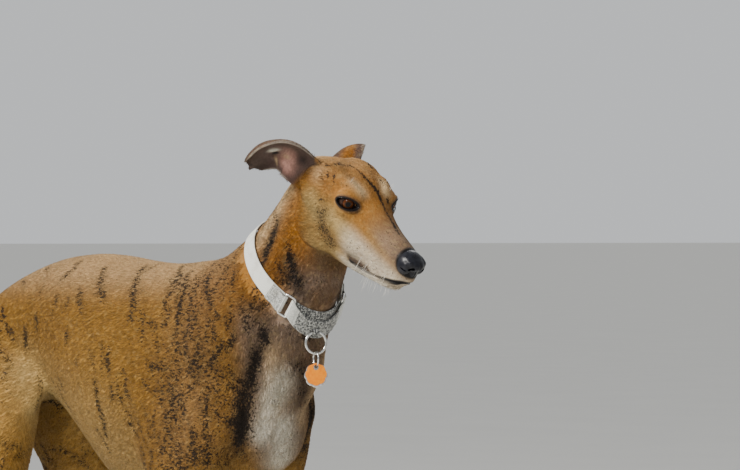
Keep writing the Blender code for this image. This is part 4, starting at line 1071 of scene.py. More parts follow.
def paint_ears(spots, out, tone):
    """Orange backs that turn grey, a dusky rolled rim with painted shade under it, a pink cup with a dark hollow of
    painted shade, a pocket with a painted highlight on its lip and painted shadow inside, and dark fringed tips.
    """
    on, s, u, inside = ear_places(spots, out)

    def place(at_s, at_u, long, wide):
        return np.exp(-(((s - at_s) / long) ** 2) - ((u - at_u) / wide) ** 2)

    back, cup = on * ~inside, on * inside
    lay(tone, ORANGE, 0.85 * back)
    lay(tone, EAR_GREY, 0.92 * back * np.maximum(ease(s, 0.34, 0.62), ease(np.abs(u), 0.45, 0.75)))
    lay(tone, EAR_GREY, 0.97 * cup)
    lay(tone, MAUVE, 0.55 * cup * place(0.55, 0.62, 0.22, 0.28))
    lay(tone, EAR_PINK, 1.35 * cup * np.maximum(place(0.37, -0.30, 0.13, 0.42), place(0.30, -0.55, 0.10, 0.3)))
    lay(tone, PALE, 0.55 * cup * place(0.40, -0.12, 0.05, 0.10))
    # Painted shade in the trough of the cup by the ear's root.
    lay(tone, SOOT, 0.80 * cup * place(0.23, 0.22, 0.075, 0.34))
    # Painted shade under the rolled upper rim.
    lay(tone, DUSK, 0.85 * cup * place(0.42, 0.36, 0.20, 0.11))
    lay(tone, SOOT, 0.75 * cup * place(0.37, -0.95, 0.05, 0.14))
    lay(tone, PALE, 0.70 * cup * place(0.565, -0.48, 0.022, 0.26))
    # The pocket: pale hairs on its lip, brightened as a painted highlight on the raised edge, and painted shadow in
    # the notch below it, which the thin flap cannot hollow.
    lay(tone, HOAR, 1.5 * cup * place(0.56, 0.13, 0.060, 0.040))
    lay(tone, SOOT, 1.9 * cup * place(0.55, 0.010, 0.040, 0.050))
    lay(tone, DUSK, 0.80 * on * ease(s, 0.66, 0.86))
    lay(tone, SOOT, 0.55 * on * ease(s, 0.80, 1.0) * (ripple(spots, 0.006, 12) > 0))
    edge = ease(np.abs(u), 0.90, 0.97) * ease(s, 0.16, 0.24) * (1 - ease(s, 0.70, 0.86))
    lay(tone, HOAR, 0.24 * on * edge)
    return on, cup


def paint_body(points, out, tone, dark, flecks):
    """The golden trunk and legs: paler low down and on the chest, orange and dusky on the neck. Painted light from
    above lies on the top of the back and the nape, and painted shade lies on the throat, the chest front, the
    neck's groove and the chest's creases.
    """
    x, y, z = points.T
    right = np.stack([x, -np.abs(y), z], axis=1)
    low = ease(-out[:, 2], 0.05, 0.85)
    trunk = ease(z, 0.36, 0.44)
    # The top of the back is painted duller and paler than the flanks: painted light from above over a duller coat.
    lay(tone, TAWNY, 0.80 * ease(z, 0.64, 0.70) * (1 - ease(x, 0.10, 0.20)))
    lay(tone, PALE, 0.34 * ease(z, 0.655, 0.700) * (1 - ease(x, 0.10, 0.18)))
    shoulder = hump(x, 0.085, 0.060) * ease(z, 0.42, 0.50) * (1 - ease(z, 0.66, 0.70))
    lay(tone, TAWNY, 0.55 * shoulder)
    lay(tone, DUSK, shoulder * (0.06 + 0.26 * (ripple(points * (1.0, 0.4, 0.4), 0.020, 9) > 0.15)))
    lay(tone, SAND, 0.75 * hump(z, 0.52, 0.07) * ease(-x, -0.02, 0.12))
    lay(tone, SAND, 0.45 * (1 - trunk))
    lay(tone, CREAM, 0.8 * low * (1 - ease(x, 0.06, 0.16)))
    lay(tone, CREAM, 0.65 * patch(right, 35, (-345, -50, 560), (-330, -30, 500)))
    lay(tone, CREAM, 0.75 * (1 - ease(z, 0.02, 0.12)) + 0.5 * (1 - trunk) * ease(-np.abs(y) * 1.0, -0.072, -0.055))
    lay(tone, CREAM, 0.5 * ease(-x, 0.49, 0.55) * ease(z, 0.30, 0.45) * (np.abs(y) > 0.02))
    neck = ease(x + 0.55 * (z - 0.70), 0.15, 0.20)
    lay(tone, ORANGE, 0.85 * neck * ease(z, 0.62, 0.70))
    lay(tone, ORANGE, 0.5 * patch(right, 50, (100, -30, 690), (160, -45, 680)))
    # Painted light from above: the crest of the nape, and every upward-facing part of the neck, are painted pale.
    nape = patch(right, 20, (245, -22, 805), (222, -30, 775), (195, -36, 740))
    lay(tone, PALE, 0.9 * np.maximum(nape, 0.7 * ease(out[:, 2] - 0.2 * out[:, 0], 0.55, 0.9) * neck))
    lay(tone, MAUVE, 0.45 * nape * (ripple(points, 0.012, 5) > 0.2))
    # Throat: a mauve coat, darkened as painted shade under the jaw. dark adds a little more painted shade here.
    throat = patch(right, 26, (273, -10, 690), (258, -22, 685), (235, -30, 640))
    throat = np.maximum(throat, patch(right, 20, (290, -10, 706), (274, 0, 668)))
    lay(tone, MAUVE, 0.92 * throat)
    dark += 0.12 * throat
    flecks += 0.2 * throat
    # Painted shade in the groove down the side of the neck and below the back of the jaw.
    hollow = patch(right, 7.5, (230, -43, 760), (216, -47, 734), (209, -49, 712))
    hollow = np.maximum(hollow, patch(right, 10, (250, -37, 714), (256, -31, 692), (253, -27, 668)))
    lay(tone, DUSK, 0.80 * hollow)
    dark += 0.16 * hollow
    # Chest front: a mauve coat, darkened as painted shade where the front faces away from the light.
    chest = ease(x, 0.150, 0.185) * (1 - ease(z, 0.63, 0.68))
    lay(tone, MAUVE, 0.80 * chest)
    flecks += 0.12 * chest
    # Pale along the raised line of the chest: paler hair there, brightened further as a painted highlight on the
    # ridge.
    ridge = patch(right, 13, (211, -39, 604), (205, -31, 567), (188, -23, 520))
    lay(tone, PALE, 0.45 * ridge)
    white = patch(points, 17, (208, -22, 570), (196, -28, 540), (180, -32, 500))
    white = np.maximum(white, patch(points, 20, (190, -10, 510), (170, 0, 470)))
    lay(tone, HOAR, 0.95 * white)
    # Painted shade in the creases between the shoulder and the chest, and down the middle of the chest front.
    groove = patch(right, 12, (205, -50, 625), (178, -51, 567), (165, -52, 520),
                   (150, -50, 470))
    groove = np.maximum(groove, patch(points, 10, (226, -8, 590), (205, 12, 540)))
    lay(tone, DUSK, 0.75 * groove)
    dark += 0.42 * groove
    return throat


def paint_head(spots, tone, flecks, bare, lips, lids):
    """Orange forehead, cream cheeks, hoary muzzle, dark marks, painted shade under the jaw, and black lids, lips
    and nose rim.
    """
    right = np.stack([spots[:, 0], -np.abs(spots[:, 1]), spots[:, 2]], axis=1)
    x, _, z = spots.T
    lay(tone, TAWNY, 0.50 * ease(z, -0.010, 0.012))
    lay(tone, ORANGE, 0.50 * ease(z, -0.010, 0.012) * (1 - ease(x, 0.02, 0.06)))
    lay(tone, GOLD, 0.9 * (1 - ease(z, -0.012, 0.004)))
    lay(tone, ORANGE, 0.75 * patch(right, 13, (4, -40, -8), (30, -30, -10)))
    lay(tone, GOLD, 0.60 * patch(right, 10, (-10, -42, -13), (6, -40, -14)))
    lay(tone, TAWNY, 0.50 * patch(right, 14, (-55, -30, 24), (-30, -25, 30)))
    lay(tone, CREAM, 0.80 * patch(right, 16, (-45, -46, -20), (-32, -46, -27)))
    lay(tone, CREAM, 0.85 * patch(right, 15, (-6, -42, -22), (20, -36, -32)))
    lay(tone, CREAM, 0.70 * patch(right, 20, (-30, -30, -62), (0, -28, -66)))
    muzzle = ease(x, 0.000, 0.034) * (1 - ease(z + 0.18 * (x - 0.03), -0.034, -0.012))
    lay(tone, HOAR, 0.58 * muzzle)
    lay(tone, HOAR, 0.80 * ease(x, -0.01, 0.04) * (1 - ease(z, -0.066, -0.058)))
    bridge = ease(x, 0.020, 0.070) * ease(z + 0.35 * (x - 0.05), -0.024, -0.008)
    lay(tone, MAUVE, 0.70 * bridge)
    lay(tone, DUSK, 0.55 * ease(x, 0.070, 0.094) * ease(z + 0.35 * (x - 0.05), -0.018, -0.004))
    flecks += 0.32 * muzzle + 0.30 * bridge + 0.22 * ease(z, 0.008, 0.020)
    lay(tone, PALE, 0.90 * patch(right, 7.5, (-9, -23, 24.5), (4, -18, 18.5)))
    lay(tone, PALE, 0.55 * patch(right, 11, (-70, -30, 16), (-58, -36, 12)))
    lay(tone, TAWNY, 0.45 * ease(z, 0.020, 0.030) * (ripple(spots, 0.014, 8) > 0.1))
    cheek = patch(right, 11.5, (-22, -45, -24), (-17, -42, -38), (-3, -33, -52))
    flecks += 1.05 * cheek
    lay(tone, DUSK, 0.42 * cheek)
    # Painted shade under the jaw.
    under = (1 - ease(z, -0.078, -0.068)) * (1 - ease(x, -0.03, 0.02))
    lay(tone, DUSK, 0.75 * under)
    fold = patch(right, 6, (26, -24, -57.5), (46, -21, -58), (56, -20, -57))
    lay(tone, DUSK, 1.1 * fold)
    far, _ = to_line(spots, lips)
    lip = 1 - ease(far, 0.0013, 0.0030)
    front = ease(x, 0.060, 0.085)
    lip = np.maximum(lip, front * (1 - ease(far, 0.0030, 0.0055)) * ease(z, -0.062, -0.052))
    lay(tone, SOOT, lip)
    for lid in lids:
        far, _ = to_line(spots, lid + lid[:1])
        rim = 1 - ease(far, 0.0012, 0.0030)
        lay(tone, DUSK, 0.60 * (1 - ease(far, 0.0030, 0.0060)))
        lay(tone, SOOT, rim)
        np.maximum(bare, rim, out=bare)
    corner = patch(right, 5.2, (10.5, -27.5, 1), (15, -25.5, -2.5))
    lay(tone, SOOT, 0.9 * corner)
    nose = np.linalg.norm((spots - (0.104, 0.0, -0.0235)) / (0.0195, 0.0185, 0.0180), axis=1)
    nose = 1 - ease(nose, 0.94, 1.10)
    lay(tone, SOOT, nose)
    np.maximum(bare, np.maximum(nose, 0.8 * lip), out=bare)


def markings(points, out, lips, lids, marks):
    """At each place: the coat's tone, how deep it is in the stripes or in painted shade, how flecked, how bare, and
    how much of an ear's inside it is."""
    count = len(points)
    x, _, z = points.T
    tone = np.tile(GOLD, (count, 1))
    flecks, bare, cup = np.zeros(count), np.zeros(count), np.zeros(count)
    dark = np.zeros(count)
    paint_body(points, out, tone, dark, flecks)
    depth = deepest_mark(points, marks, 0.008)
    field = 0.5 + depth / 0.016
    brindled = 0.12 + 0.32 * hump(x, 0.085, 0.085) * ease(z, 0.40, 0.46) + 0.12 * ease(-x, 0.30, 0.42)
    field = np.maximum(field, brindled + 0.14 * ripple(points * (1.0, 0.35, 0.35), 0.017, 3))
    quiet = np.maximum(1 - ease(z, 0.06, 0.16), ease(-out[:, 2], 0.5, 0.9) * ease(z, 0.35, 0.40))
    field -= 0.5 * quiet
    face = (x > 0.18) & (z > 0.64)
    heading = ease(x, 0.262, 0.292) * ease(z + 0.4 * (x - 0.3), 0.680, 0.700)
    spots = in_head(points[face])
    turned = out[face] @ np.array(HEAD.to_3x3())
    face_tone, face_flecks, face_bare = tone[face].copy(), np.zeros(len(spots)), np.zeros(len(spots))
    paint_head(spots, face_tone, face_flecks, face_bare, lips, lids)
    share = heading[face][:, None]
    face_tone = tone[face] + share * (face_tone - tone[face])
    ears, face_cup = paint_ears(spots, turned, face_tone)
    tone[face] = face_tone
    dark[face] *= 1 - heading[face]
    flecks[face] += heading[face] * (face_flecks - flecks[face])
    bare[face] = np.maximum(heading[face] * face_bare, 0.35 * face_cup)
    cup[face] = face_cup
    head_field = np.maximum(0.5 + deepest_mark(spots, FACE_MARKS, 0.003) / 0.0055, 0.10)
    field[face] += heading[face] * (head_field - field[face])
    field[face] *= 1 - ears
    flecks[face] *= 1 - ears
    pads = (1 - ease(z, 0.004, 0.010)) * ease(-out[:, 2], -0.2, 0.3)
    lay(tone, SOOT, pads)
    np.maximum(bare, 0.6 * pads, out=bare)
    # dark holds the painted shade of the throat, the neck's groove and the chest's creases, which darkens the coat
    # as the stripes do.
    field = field + dark - bare - cup
    return tone, np.clip(field, 0, 1), np.clip(flecks, 0, 1.2), np.clip(bare, 0, 1), cup


def lie(points, out):
    """Which way the hair lies at each place, along the skin."""
    x, y, z = points.T
    way = np.tile((-0.90, 0.0, -0.40), (len(points), 1))

    def turn(direction, share):
        way[:] += np.clip(share, 0, 1)[:, None] * (np.asarray(direction) - way)

    turn((-0.55, 0.0, -0.85), ease(-x, 0.34, 0.46))
    turn((-0.30, 0.0, -1.0), 1 - ease(z, 0.36, 0.44))
    turn((-0.72, 0.0, -0.70), ease(x + 0.55 * (z - 0.70), 0.12, 0.20))
    turn((-0.20, 0.0, -1.0), ease(x, 0.13, 0.18) * (1 - ease(z, 0.60, 0.67)))
    turn((0.75, 0.0, -0.70), 1 - ease(z, 0.045, 0.065))
    tail = ease(-x, 0.565, 0.580) * (np.abs(y) < 0.03) * (z > 0.10)
    if tail.any():
        rows = np.array(TAIL)[:, :3]
        _, share = to_line(points[tail > 0], rows)
        ways = np.gradient(rows, axis=0)
        step = np.clip((share * (len(rows) - 1)).round().astype(int), 0, len(rows) - 1)
        way[tail > 0] = ways[step] / np.linalg.norm(ways[step], axis=1)[:, None]
    spots = in_head(points)
    back = np.stack([
        np.full(len(points), -1.0),
        1.1 * np.clip(spots[:, 1] * 14, -1, 1) * ease(spots[:, 0], -0.02, 0.03),
        -0.35 - 0.5 * ease(-spots[:, 2], 0.0, 0.05),
    ], axis=1)
    heading = ease(x, 0.262, 0.292) * ease(z + 0.4 * (x - 0.3), 0.680, 0.700)
    turned = back @ np.array(HEAD.to_3x3()).T
    way += heading[:, None] * (turned - way)
    way -= out * np.einsum("nj,nj->n", way, out)[:, None]
    return way / np.maximum(np.linalg.norm(way, axis=1), 1e-9)[:, None]


def store(obj, name, values):
    """Keep a number or a colour on each of a piece's points."""
    if values.ndim == 2:
        values = np.concatenate([values, np.ones((len(values), 1))], axis=1)
        obj.data.attributes.new(name, "FLOAT_COLOR", "POINT").data.foreach_set("color", values.ravel())
    else:
        obj.data.attributes.new(name, "FLOAT", "POINT").data.foreach_set("value", values)


def store_markings(obj, tone, field, flecks, bare, shade):
    store(obj, "tone", tone)
    store(obj, "stripe_and_shade", field)
    store(obj, "flecks", flecks)
    store(obj, "bare", bare)
    store(obj, "shade", shade)


def hair_grows(points, lips, lids, bare, cup):
    """How thick the coat stands at each place: none on bare skin or under the collar, little in the ears."""
    grows = np.clip(1 - 1.3 * bare, 0, 1) * (1 - cup)
    offset = points - np.array(COLLAR_AT)
    level = offset @ np.array(COLLAR_UP)
    grows[(np.abs(level) < 0.0122) & (np.linalg.norm(offset, axis=1) < 0.12)] = 0
    grows[points[:, 2] < 0.007] = 0
    face = np.flatnonzero((points[:, 0] > 0.3) & (points[:, 2] > 0.68))
    spots = in_head(points[face])
    for side, lid in zip((RIGHT, LEFT), lids):
        far, _ = to_line(spots, lid + lid[:1])
        close = np.linalg.norm(spots - np.array(eye_middle(side)), axis=1) < 0.0165
        grows[face[(far < 0.0022) | close]] = 0
    far, _ = to_line(spots, lips)
    grows[face[far < 0.0018]] = 0
    return grows


COAT_ZONES = {
    "coat_head": (47000, 0.0042, 0.00044, 0.00060),
    "coat_neck": (46000, 0.0075, 0.00060, 0.00120),
    "coat_flank_right": (44000, 0.0085, 0.00075, 0.00115),
    "coat_flank_left": (44000, 0.0085, 0.00075, 0.00115),
    "coat_hind_right": (44000, 0.0078, 0.00070, 0.00115),
    "coat_hind_left": (44000, 0.0078, 0.00070, 0.00115),
    "coat_forelegs": (30000, 0.0060, 0.00058, 0.00085),
}


def on_head(points):
    """Which places take the head's short coat: the face, and the ears behind it."""
    x, _, z = points.T
    return ((x > 0.262) & (z > 0.685)) | ((x > 0.19) & (z > 0.797))


def zone_numbers(points):
    x, y, z = points.T
    zone = np.where(y < 0, 2, 3)
    zone = np.where(x < -0.36, np.where(y < 0, 4, 5), zone)
    zone = np.where((x > 0.09) & (z > 0.42), 1, zone)
    zone = np.where(on_head(points), 0, zone)
    return np.where((x > -0.36) & (z < 0.42), 6, zone)


def grow_coat(skin, lips, lids, marks, paint):
    """The coat, zone by zone. Each tuft is a thin blade with its root in the skin, lying along the hair."""
    mesh = skin.data
    mesh.calc_loop_triangles()
    corners = numbers(mesh.loop_triangles, "vertices", 3, np.int32)
    loops = numbers(mesh.loop_triangles, "loops", 3, np.int32)
    area = numbers(mesh.loop_triangles, "area", 1).astype(float)
    points, out = points_of(skin), normals_of(skin)
    flat = numbers(mesh.uv_layers["unwrap"].uv, "vector", 2)
    _, _, _, bare, cup = markings(points, out, lips, lids, [])
    grows = hair_grows(points, lips, lids, bare, cup)
    wanted = area * grows[corners].min(axis=1)
    zones = zone_numbers(points[corners].mean(axis=1))
    pieces = []
    for number, (name, (count, length, width, rise)) in enumerate(COAT_ZONES.items()):
        draw = np.random.default_rng(100 + number)
        count = count
        weight = np.cumsum(np.where(zones == number, wanted, 0.0))
        chosen = np.searchsorted(weight, (np.arange(count) + draw.random(count)) / count * weight[-1])
        chosen = np.minimum(chosen, len(weight) - 1)
        share = draw.dirichlet((1, 1, 1), count)
        root = np.einsum("nk,nkj->nj", share, points[corners[chosen]])
        normal = np.einsum("nk,nkj->nj", share, out[corners[chosen]])
        normal /= np.linalg.norm(normal, axis=1)[:, None]
        place = np.einsum("nk,nkj->nj", share, flat[loops[chosen]])
        ahead = lie(root, normal)
        beside = np.cross(ahead, normal)
        swing = 0.20 * draw.normal(size=count) + 0.25 * ripple(root, 0.018, 60 + number)
        ahead = ahead * np.cos(swing)[:, None] + beside * np.sin(swing)[:, None]
        beside = np.cross(ahead, normal)
        size = coat_length(root) * length * draw.uniform(0.7, 1.25, count)
        half = width / 2 * draw.uniform(0.7, 1.25, count)
        lifted = rise * coat_length(root) * draw.uniform(0.55, 1.3, count)
        tall = np.minimum(0.00035, size * 0.1)[:, None]
        foot = root - normal * 0.00035
        blades = np.stack([
            foot - beside * half[:, None],
            foot + beside * half[:, None],
            root + normal * tall,
            root + ahead * size[:, None] + normal * lifted[:, None],
        ], axis=1)
        pieces.append(coat_piece(name, root, normal, blades, place, draw, lips, lids, marks, paint))
    return pieces


def coat_length(points):
    """How long the hair is there, against the zone's own: shortest on the face and the feet, and longer on the
    back of the thighs, under the tail and along the throat."""
    x, _, z = points.T
    size = 0.75 + 0.25 * ease(z, 0.10, 0.40)
    size *= 0.55 + 0.45 * ease(z, 0.02, 0.10)
    size += 0.35 * ease(-x, 0.50, 0.55) * ease(z, 0.30, 0.45)
    size += 0.25 * hump(x, 0.20, 0.05) * ease(z, 0.5, 0.6) * (1 - ease(z, 0.70, 0.74))
    face = on_head(points)
    spots = in_head(points[face])
    size[face] = 0.50 + 0.60 * ease(-spots[:, 0], -0.03, 0.06) - 0.10 * ease(spots[:, 0], 0.04, 0.09)
    size[face] *= 1 - 0.45 * ease(-spots[:, 0], 0.085, 0.105) * (spots[:, 2] > -0.03)
    return size


def coat_piece(name, root, normal, blades, place, draw, lips, lids, marks, paint):
    count = len(root)
    mesh = bpy.data.meshes.new(name)
    mesh.vertices.add(count * 4)
    mesh.vertices.foreach_set("co", blades.astype(np.float32).ravel())
    pattern = np.array(((0, 1, 2), (0, 2, 3), (2, 1, 3), (1, 0, 3)))
    corners = (pattern[None] + 4 * np.arange(count)[:, None, None]).reshape(-1, 3)
    mesh.loops.add(corners.size)
    mesh.loops.foreach_set("vertex_index", corners.ravel().astype(np.int32))
    mesh.polygons.add(len(corners))
    mesh.polygons.foreach_set("loop_start", np.arange(0, corners.size, 3, dtype=np.int32))
    mesh.update()
    spread = np.array(((-0.0015, -0.0013), (0.0015, -0.0013), (0.0, 0.0), (0.0, 0.0015)))
    mesh.uv_layers.new(name="OFBake")
    uvs = np.clip(place[:, None, :] + spread[pattern.ravel()][None], 0.0, 1.0)
    mesh.uv_layers["OFBake"].uv.foreach_set("vector", uvs.astype(np.float32).ravel())
    obj = bpy.data.objects.new(name, mesh)
    bpy.context.scene.collection.objects.link(obj)
    tone, field, flecks, bare, _ = markings(root, normal, lips, lids, marks)
    tone *= draw.uniform(0.84, 1.16, (count, 1))
    # Each blade is darker at its root, as painted shade down among the hairs, and lighter at its tip.
    shade = np.array((0.80, 0.80, 0.92, 1.12))[None] * draw.uniform(0.9, 1.1, (count, 1))
    repeated = [np.repeat(value, 4, axis=0) for value in (tone, field, flecks, bare)]
    store_markings(obj, *repeated, shade.ravel())
    obj.data.materials.append(paint)
    take(obj)
    bpy.ops.object.shade_smooth()
    return obj


def other_side_marks():
    """The left side's stripes: of the same kind and in about the same places, but never the same marks."""
    draw = np.random.default_rng(29)
    marks = []
    for half, line in PHOTO_MARKS:
        moved = np.array(line) * (1, -1, 1) + (draw.uniform(-0.014, 0.014), 0.0, draw.uniform(-0.008, 0.008))
        moved = moved + draw.normal(size=moved.shape) * (0.004, 0.0, 0.003)
        marks.append((half * draw.uniform(0.8, 1.2), moved.tolist()))
    return marks


def new_material(name, roughness=0.5, metallic=0.0, **sockets):
    """A material with its shader, and the constant values that its finish has all over."""
    material = bpy.data.materials.new(name)
    material.use_nodes = True
    shader = material.node_tree.nodes["Principled BSDF"]
    shader.inputs["Roughness"].default_value = roughness
    shader.inputs["Metallic"].default_value = metallic
    for socket, value in sockets.items():
        shader.inputs[socket.replace("_", " ")].default_value = value
    return material, material.node_tree, shader


def put(tree, kind, inputs=(), **settings):
    """Add a node. Each input is a value, or the socket that feeds it, by its name or its number."""
    made = tree.nodes.new("ShaderNode" + kind)
    for setting, value in settings.items():
        setattr(made, setting, value)
    for key, value in dict(inputs).items():
        if isinstance(value, bpy.types.NodeSocket):
            tree.links.new(value, made.inputs[key])
        else:
            made.inputs[key].default_value = value
    return made


def sum_of(tree, operation, first, second):
    return put(tree, "Math", {0: first, 1: second}, operation=operation).outputs[0]


def step_between(tree, value, low, high, bottom=0.0, top=1.0):
    """The value turned into a smooth step from bottom to top."""
    inputs = {"Value": value, "From Min": low, "From Max": high, "To Min": bottom, "To Max": top}
    return put(tree, "MapRange", inputs, interpolation_type="SMOOTHSTEP").outputs[0]


def blend_paint(tree, share, first, second, mode="MIX"):
    colours = {0: share, 6: first, 7: second}
    colours = {k: (*v, 1.0) if k > 5 and not isinstance(v, bpy.types.NodeSocket) else v for k, v in colours.items()}
    return put(tree, "Mix", colours, data_type="RGBA", blend_type=mode).outputs[2]


def grain(tree, size, detail=2.0, stretch=(1, 1, 1), source="Object"):
    """Noise with features of about the given size, in metres, drawn out along an axis by its stretch."""
    place = put(tree, "TexCoord").outputs[source]
    scaled = put(tree, "Mapping", {"Vector": place, "Scale": [1 / (size * s) for s in stretch]}).outputs[0]
    return put(tree, "TexNoise", {"Vector": scaled, "Scale": 1.0, "Detail": detail}).outputs["Fac"]


def relief(tree, shader, height, depth, strength=1.0):
    bump = put(tree, "Bump", {"Height": height, "Distance": depth, "Strength": strength})
    tree.links.new(bump.outputs[0], shader.inputs["Normal"])


def kept(tree, name, kind="Fac"):
    return put(tree, "Attribute", attribute_name=name).outputs[kind]


def two_tone(tree, shader, pattern, low, high, first, second):
    """Colour a finish with two paints, which change over as its pattern rises from low to high."""
    tone = blend_paint(tree, step_between(tree, pattern, low, high), srgb(*first), srgb(*second))
    tree.links.new(tone, shader.inputs["Base Color"])


def coat_paint():
    """Short glossy hair: the stored tone, ragged stripes that also carry painted shade, dark flecks, fine streaks
    along the coat, and the stored shade, which is painted shade at the hairs' roots.
    """
    material, tree, shader = new_material("brindle_coat", 0.68, Sheen_Weight=0.02, Specular_IOR_Level=0.13)
    streaks = grain(tree, 0.0016, 3.0, (5, 1, 1.6))
    drops = grain(tree, 0.0018, 3.0, (1, 1, 5))
    fine = grain(tree, 0.0021, 3.0)
    broad = grain(tree, 0.030, 2.0)
    mottled = grain(tree, 0.0055, 3.0, (1.5, 1, 1))
    low = step_between(tree, put(tree, "SeparateXYZ", {0: put(tree, "TexCoord").outputs["Object"]}).outputs[2],
                       0.36, 0.44)
    hairs = put(tree, "Mix", {0: low, 2: drops, 3: streaks}).outputs[0]
    ragged = sum_of(tree, "ADD", kept(tree, "stripe_and_shade"), step_between(tree, hairs, 0.25, 0.75, -0.30, 0.30))
    ragged = sum_of(tree, "ADD", ragged, step_between(tree, fine, 0.25, 0.75, -0.16, 0.16))
    stripe_and_shade = step_between(tree, ragged, 0.40, 0.70, 0.0, 0.95)
    hairy = step_between(tree, kept(tree, "bare"), 0.0, 0.35, 1.0, 0.0)
    pale = sum_of(tree, "MULTIPLY", step_between(tree, mottled, 0.46, 0.72, 0.0, 0.22), hairy)
    dull = sum_of(tree, "MULTIPLY", step_between(tree, mottled, 0.50, 0.28, 0.0, 0.24), hairy)
    tone = blend_paint(tree, pale, kept(tree, "tone", "Color"), CREAM)
    tone = blend_paint(tree, dull, tone, TAWNY)
    light = sum_of(tree, "MULTIPLY", step_between(tree, hairs, 0.2, 0.8, 0.78, 1.22),
                   step_between(tree, broad, 0.3, 0.7, 0.92, 1.08))
    tone = put(tree, "VectorMath", {0: tone, 3: light}, operation="SCALE").outputs[0]
    # The stripes and the painted shade both take the stripes' dark colour.
    tone = blend_paint(tree, stripe_and_shade, tone, STRIPE_AND_SHADE)
    speck = sum_of(tree, "ADD", sum_of(tree, "MULTIPLY", kept(tree, "flecks"), 0.42),
                   step_between(tree, fine, 0.3, 0.7, 0.1, 0.9))
    speck = sum_of(tree, "ADD", speck, step_between(tree, hairs, 0.25, 0.75, -0.10, 0.10))
    tone = blend_paint(tree, step_between(tree, speck, 0.92, 1.06, 0.0, 0.80), tone, SOOT)
    # The stored shade: painted shade toward the roots of the hair.
    tone = put(tree, "VectorMath", {0: tone, 3: kept(tree, "shade")}, operation="SCALE").outputs[0]
    tree.links.new(tone, shader.inputs["Base Color"])
    gloss = step_between(tree, kept(tree, "bare"), 0.0, 1.0, 0.66, 0.36)
    tree.links.new(gloss, shader.inputs["Roughness"])
    relief(tree, shader, sum_of(tree, "ADD", hairs, sum_of(tree, "MULTIPLY", fine, 0.4)), 0.0005, 0.45)
    return material


def leather_paint():
    material, tree, shader = new_material(
        "nose_leather", 0.3, Coat_Weight=0.10, Coat_Roughness=0.20, Specular_IOR_Level=0.18
    )
    place = put(tree, "TexCoord").outputs["Object"]
    pebbles = put(tree, "TexVoronoi", {"Vector": place, "Scale": 1500.0}, feature="SMOOTH_F1").outputs["Distance"]
    cloudy = grain(tree, 0.006, 3.0)
    tone = blend_paint(tree, step_between(tree, cloudy, 0.3, 0.7), srgb(10, 10, 14), srgb(20, 21, 28))
    tone = blend_paint(tree, step_between(tree, pebbles, 0.2, 0.7, 0.0, 0.35), tone, srgb(28, 29, 38))
    tree.links.new(tone, shader.inputs["Base Color"])
    tree.links.new(step_between(tree, cloudy, 0.3, 0.7, 0.26, 0.42), shader.inputs["Roughness"])
    relief(tree, shader, sum_of(tree, "SUBTRACT", 1.0, pebbles), 0.00018, 0.45)
    return material


def lid_paint():
    material, tree, shader = new_material("lid_rim", 0.26, Coat_Weight=0.08, Specular_IOR_Level=0.2)
    two_tone(tree, shader, grain(tree, 0.0012), 0.3, 0.7, (10, 8, 8), (26, 20, 19))
    relief(tree, shader, grain(tree, 0.0007, 2.0), 0.0002, 0.4)
    return material


def eye_paint():
    """Amber-brown iris with fibres round a dark pupil, a dark edge, and a brownish white."""
    material, tree, shader = new_material(
        "eye_glaze", 0.06, Coat_Weight=0.14, Coat_Roughness=0.02, Specular_IOR_Level=0.12, IOR=1.38
    )
    flat = put(tree, "UVMap", uv_map="gaze").outputs[0]
    centred = put(tree, "VectorMath", {0: flat, 1: (0.5, 0.5, 0.0)}, operation="SUBTRACT").outputs[0]
    far = put(tree, "VectorMath", {0: centred}, operation="LENGTH").outputs["Value"]
    spin = put(tree, "VectorMath", {0: centred}, operation="NORMALIZE").outputs[0]
    fibres = put(tree, "TexNoise", {"Vector": spin, "Scale": 9.0, "Detail": 4.0}).outputs["Fac"]
    amber = blend_paint(tree, step_between(tree, fibres, 0.35, 0.68), srgb(30, 16, 7), srgb(78, 46, 18))
    ring = 1 / (2 * EYE_RADIUS)
    amber = blend_paint(tree, step_between(tree, far, 0.0030 * ring, 0.0064 * ring), amber, srgb(74, 36, 12))
    amber = blend_paint(tree, step_between(tree, far, 0.0058 * ring, 0.0068 * ring), amber, srgb(16, 10, 8))
    white = blend_paint(tree, step_between(tree, grain(tree, 0.0020, 3.0), 0.35, 0.7), srgb(34, 23, 18),
                        srgb(60, 44, 36))
    tone = blend_paint(tree, step_between(tree, far, 0.0069 * ring, 0.0076 * ring), amber, white)
    tone = blend_paint(tree, step_between(tree, far, 0.0036 * ring, 0.0029 * ring), tone, srgb(3, 3, 4))
    tree.links.new(tone, shader.inputs["Base Color"])
    return material


def horn_paint():
    material, tree, shader = new_material("claw_horn", 0.35, Coat_Weight=0.2, Coat_Roughness=0.3)
    fibres = grain(tree, 0.0009, 3.0, (6, 1, 2))
    two_tone(tree, shader, fibres, 0.3, 0.7, (34, 30, 28), (92, 80, 70))
    relief(tree, shader, fibres, 0.0002, 0.4)
    return material


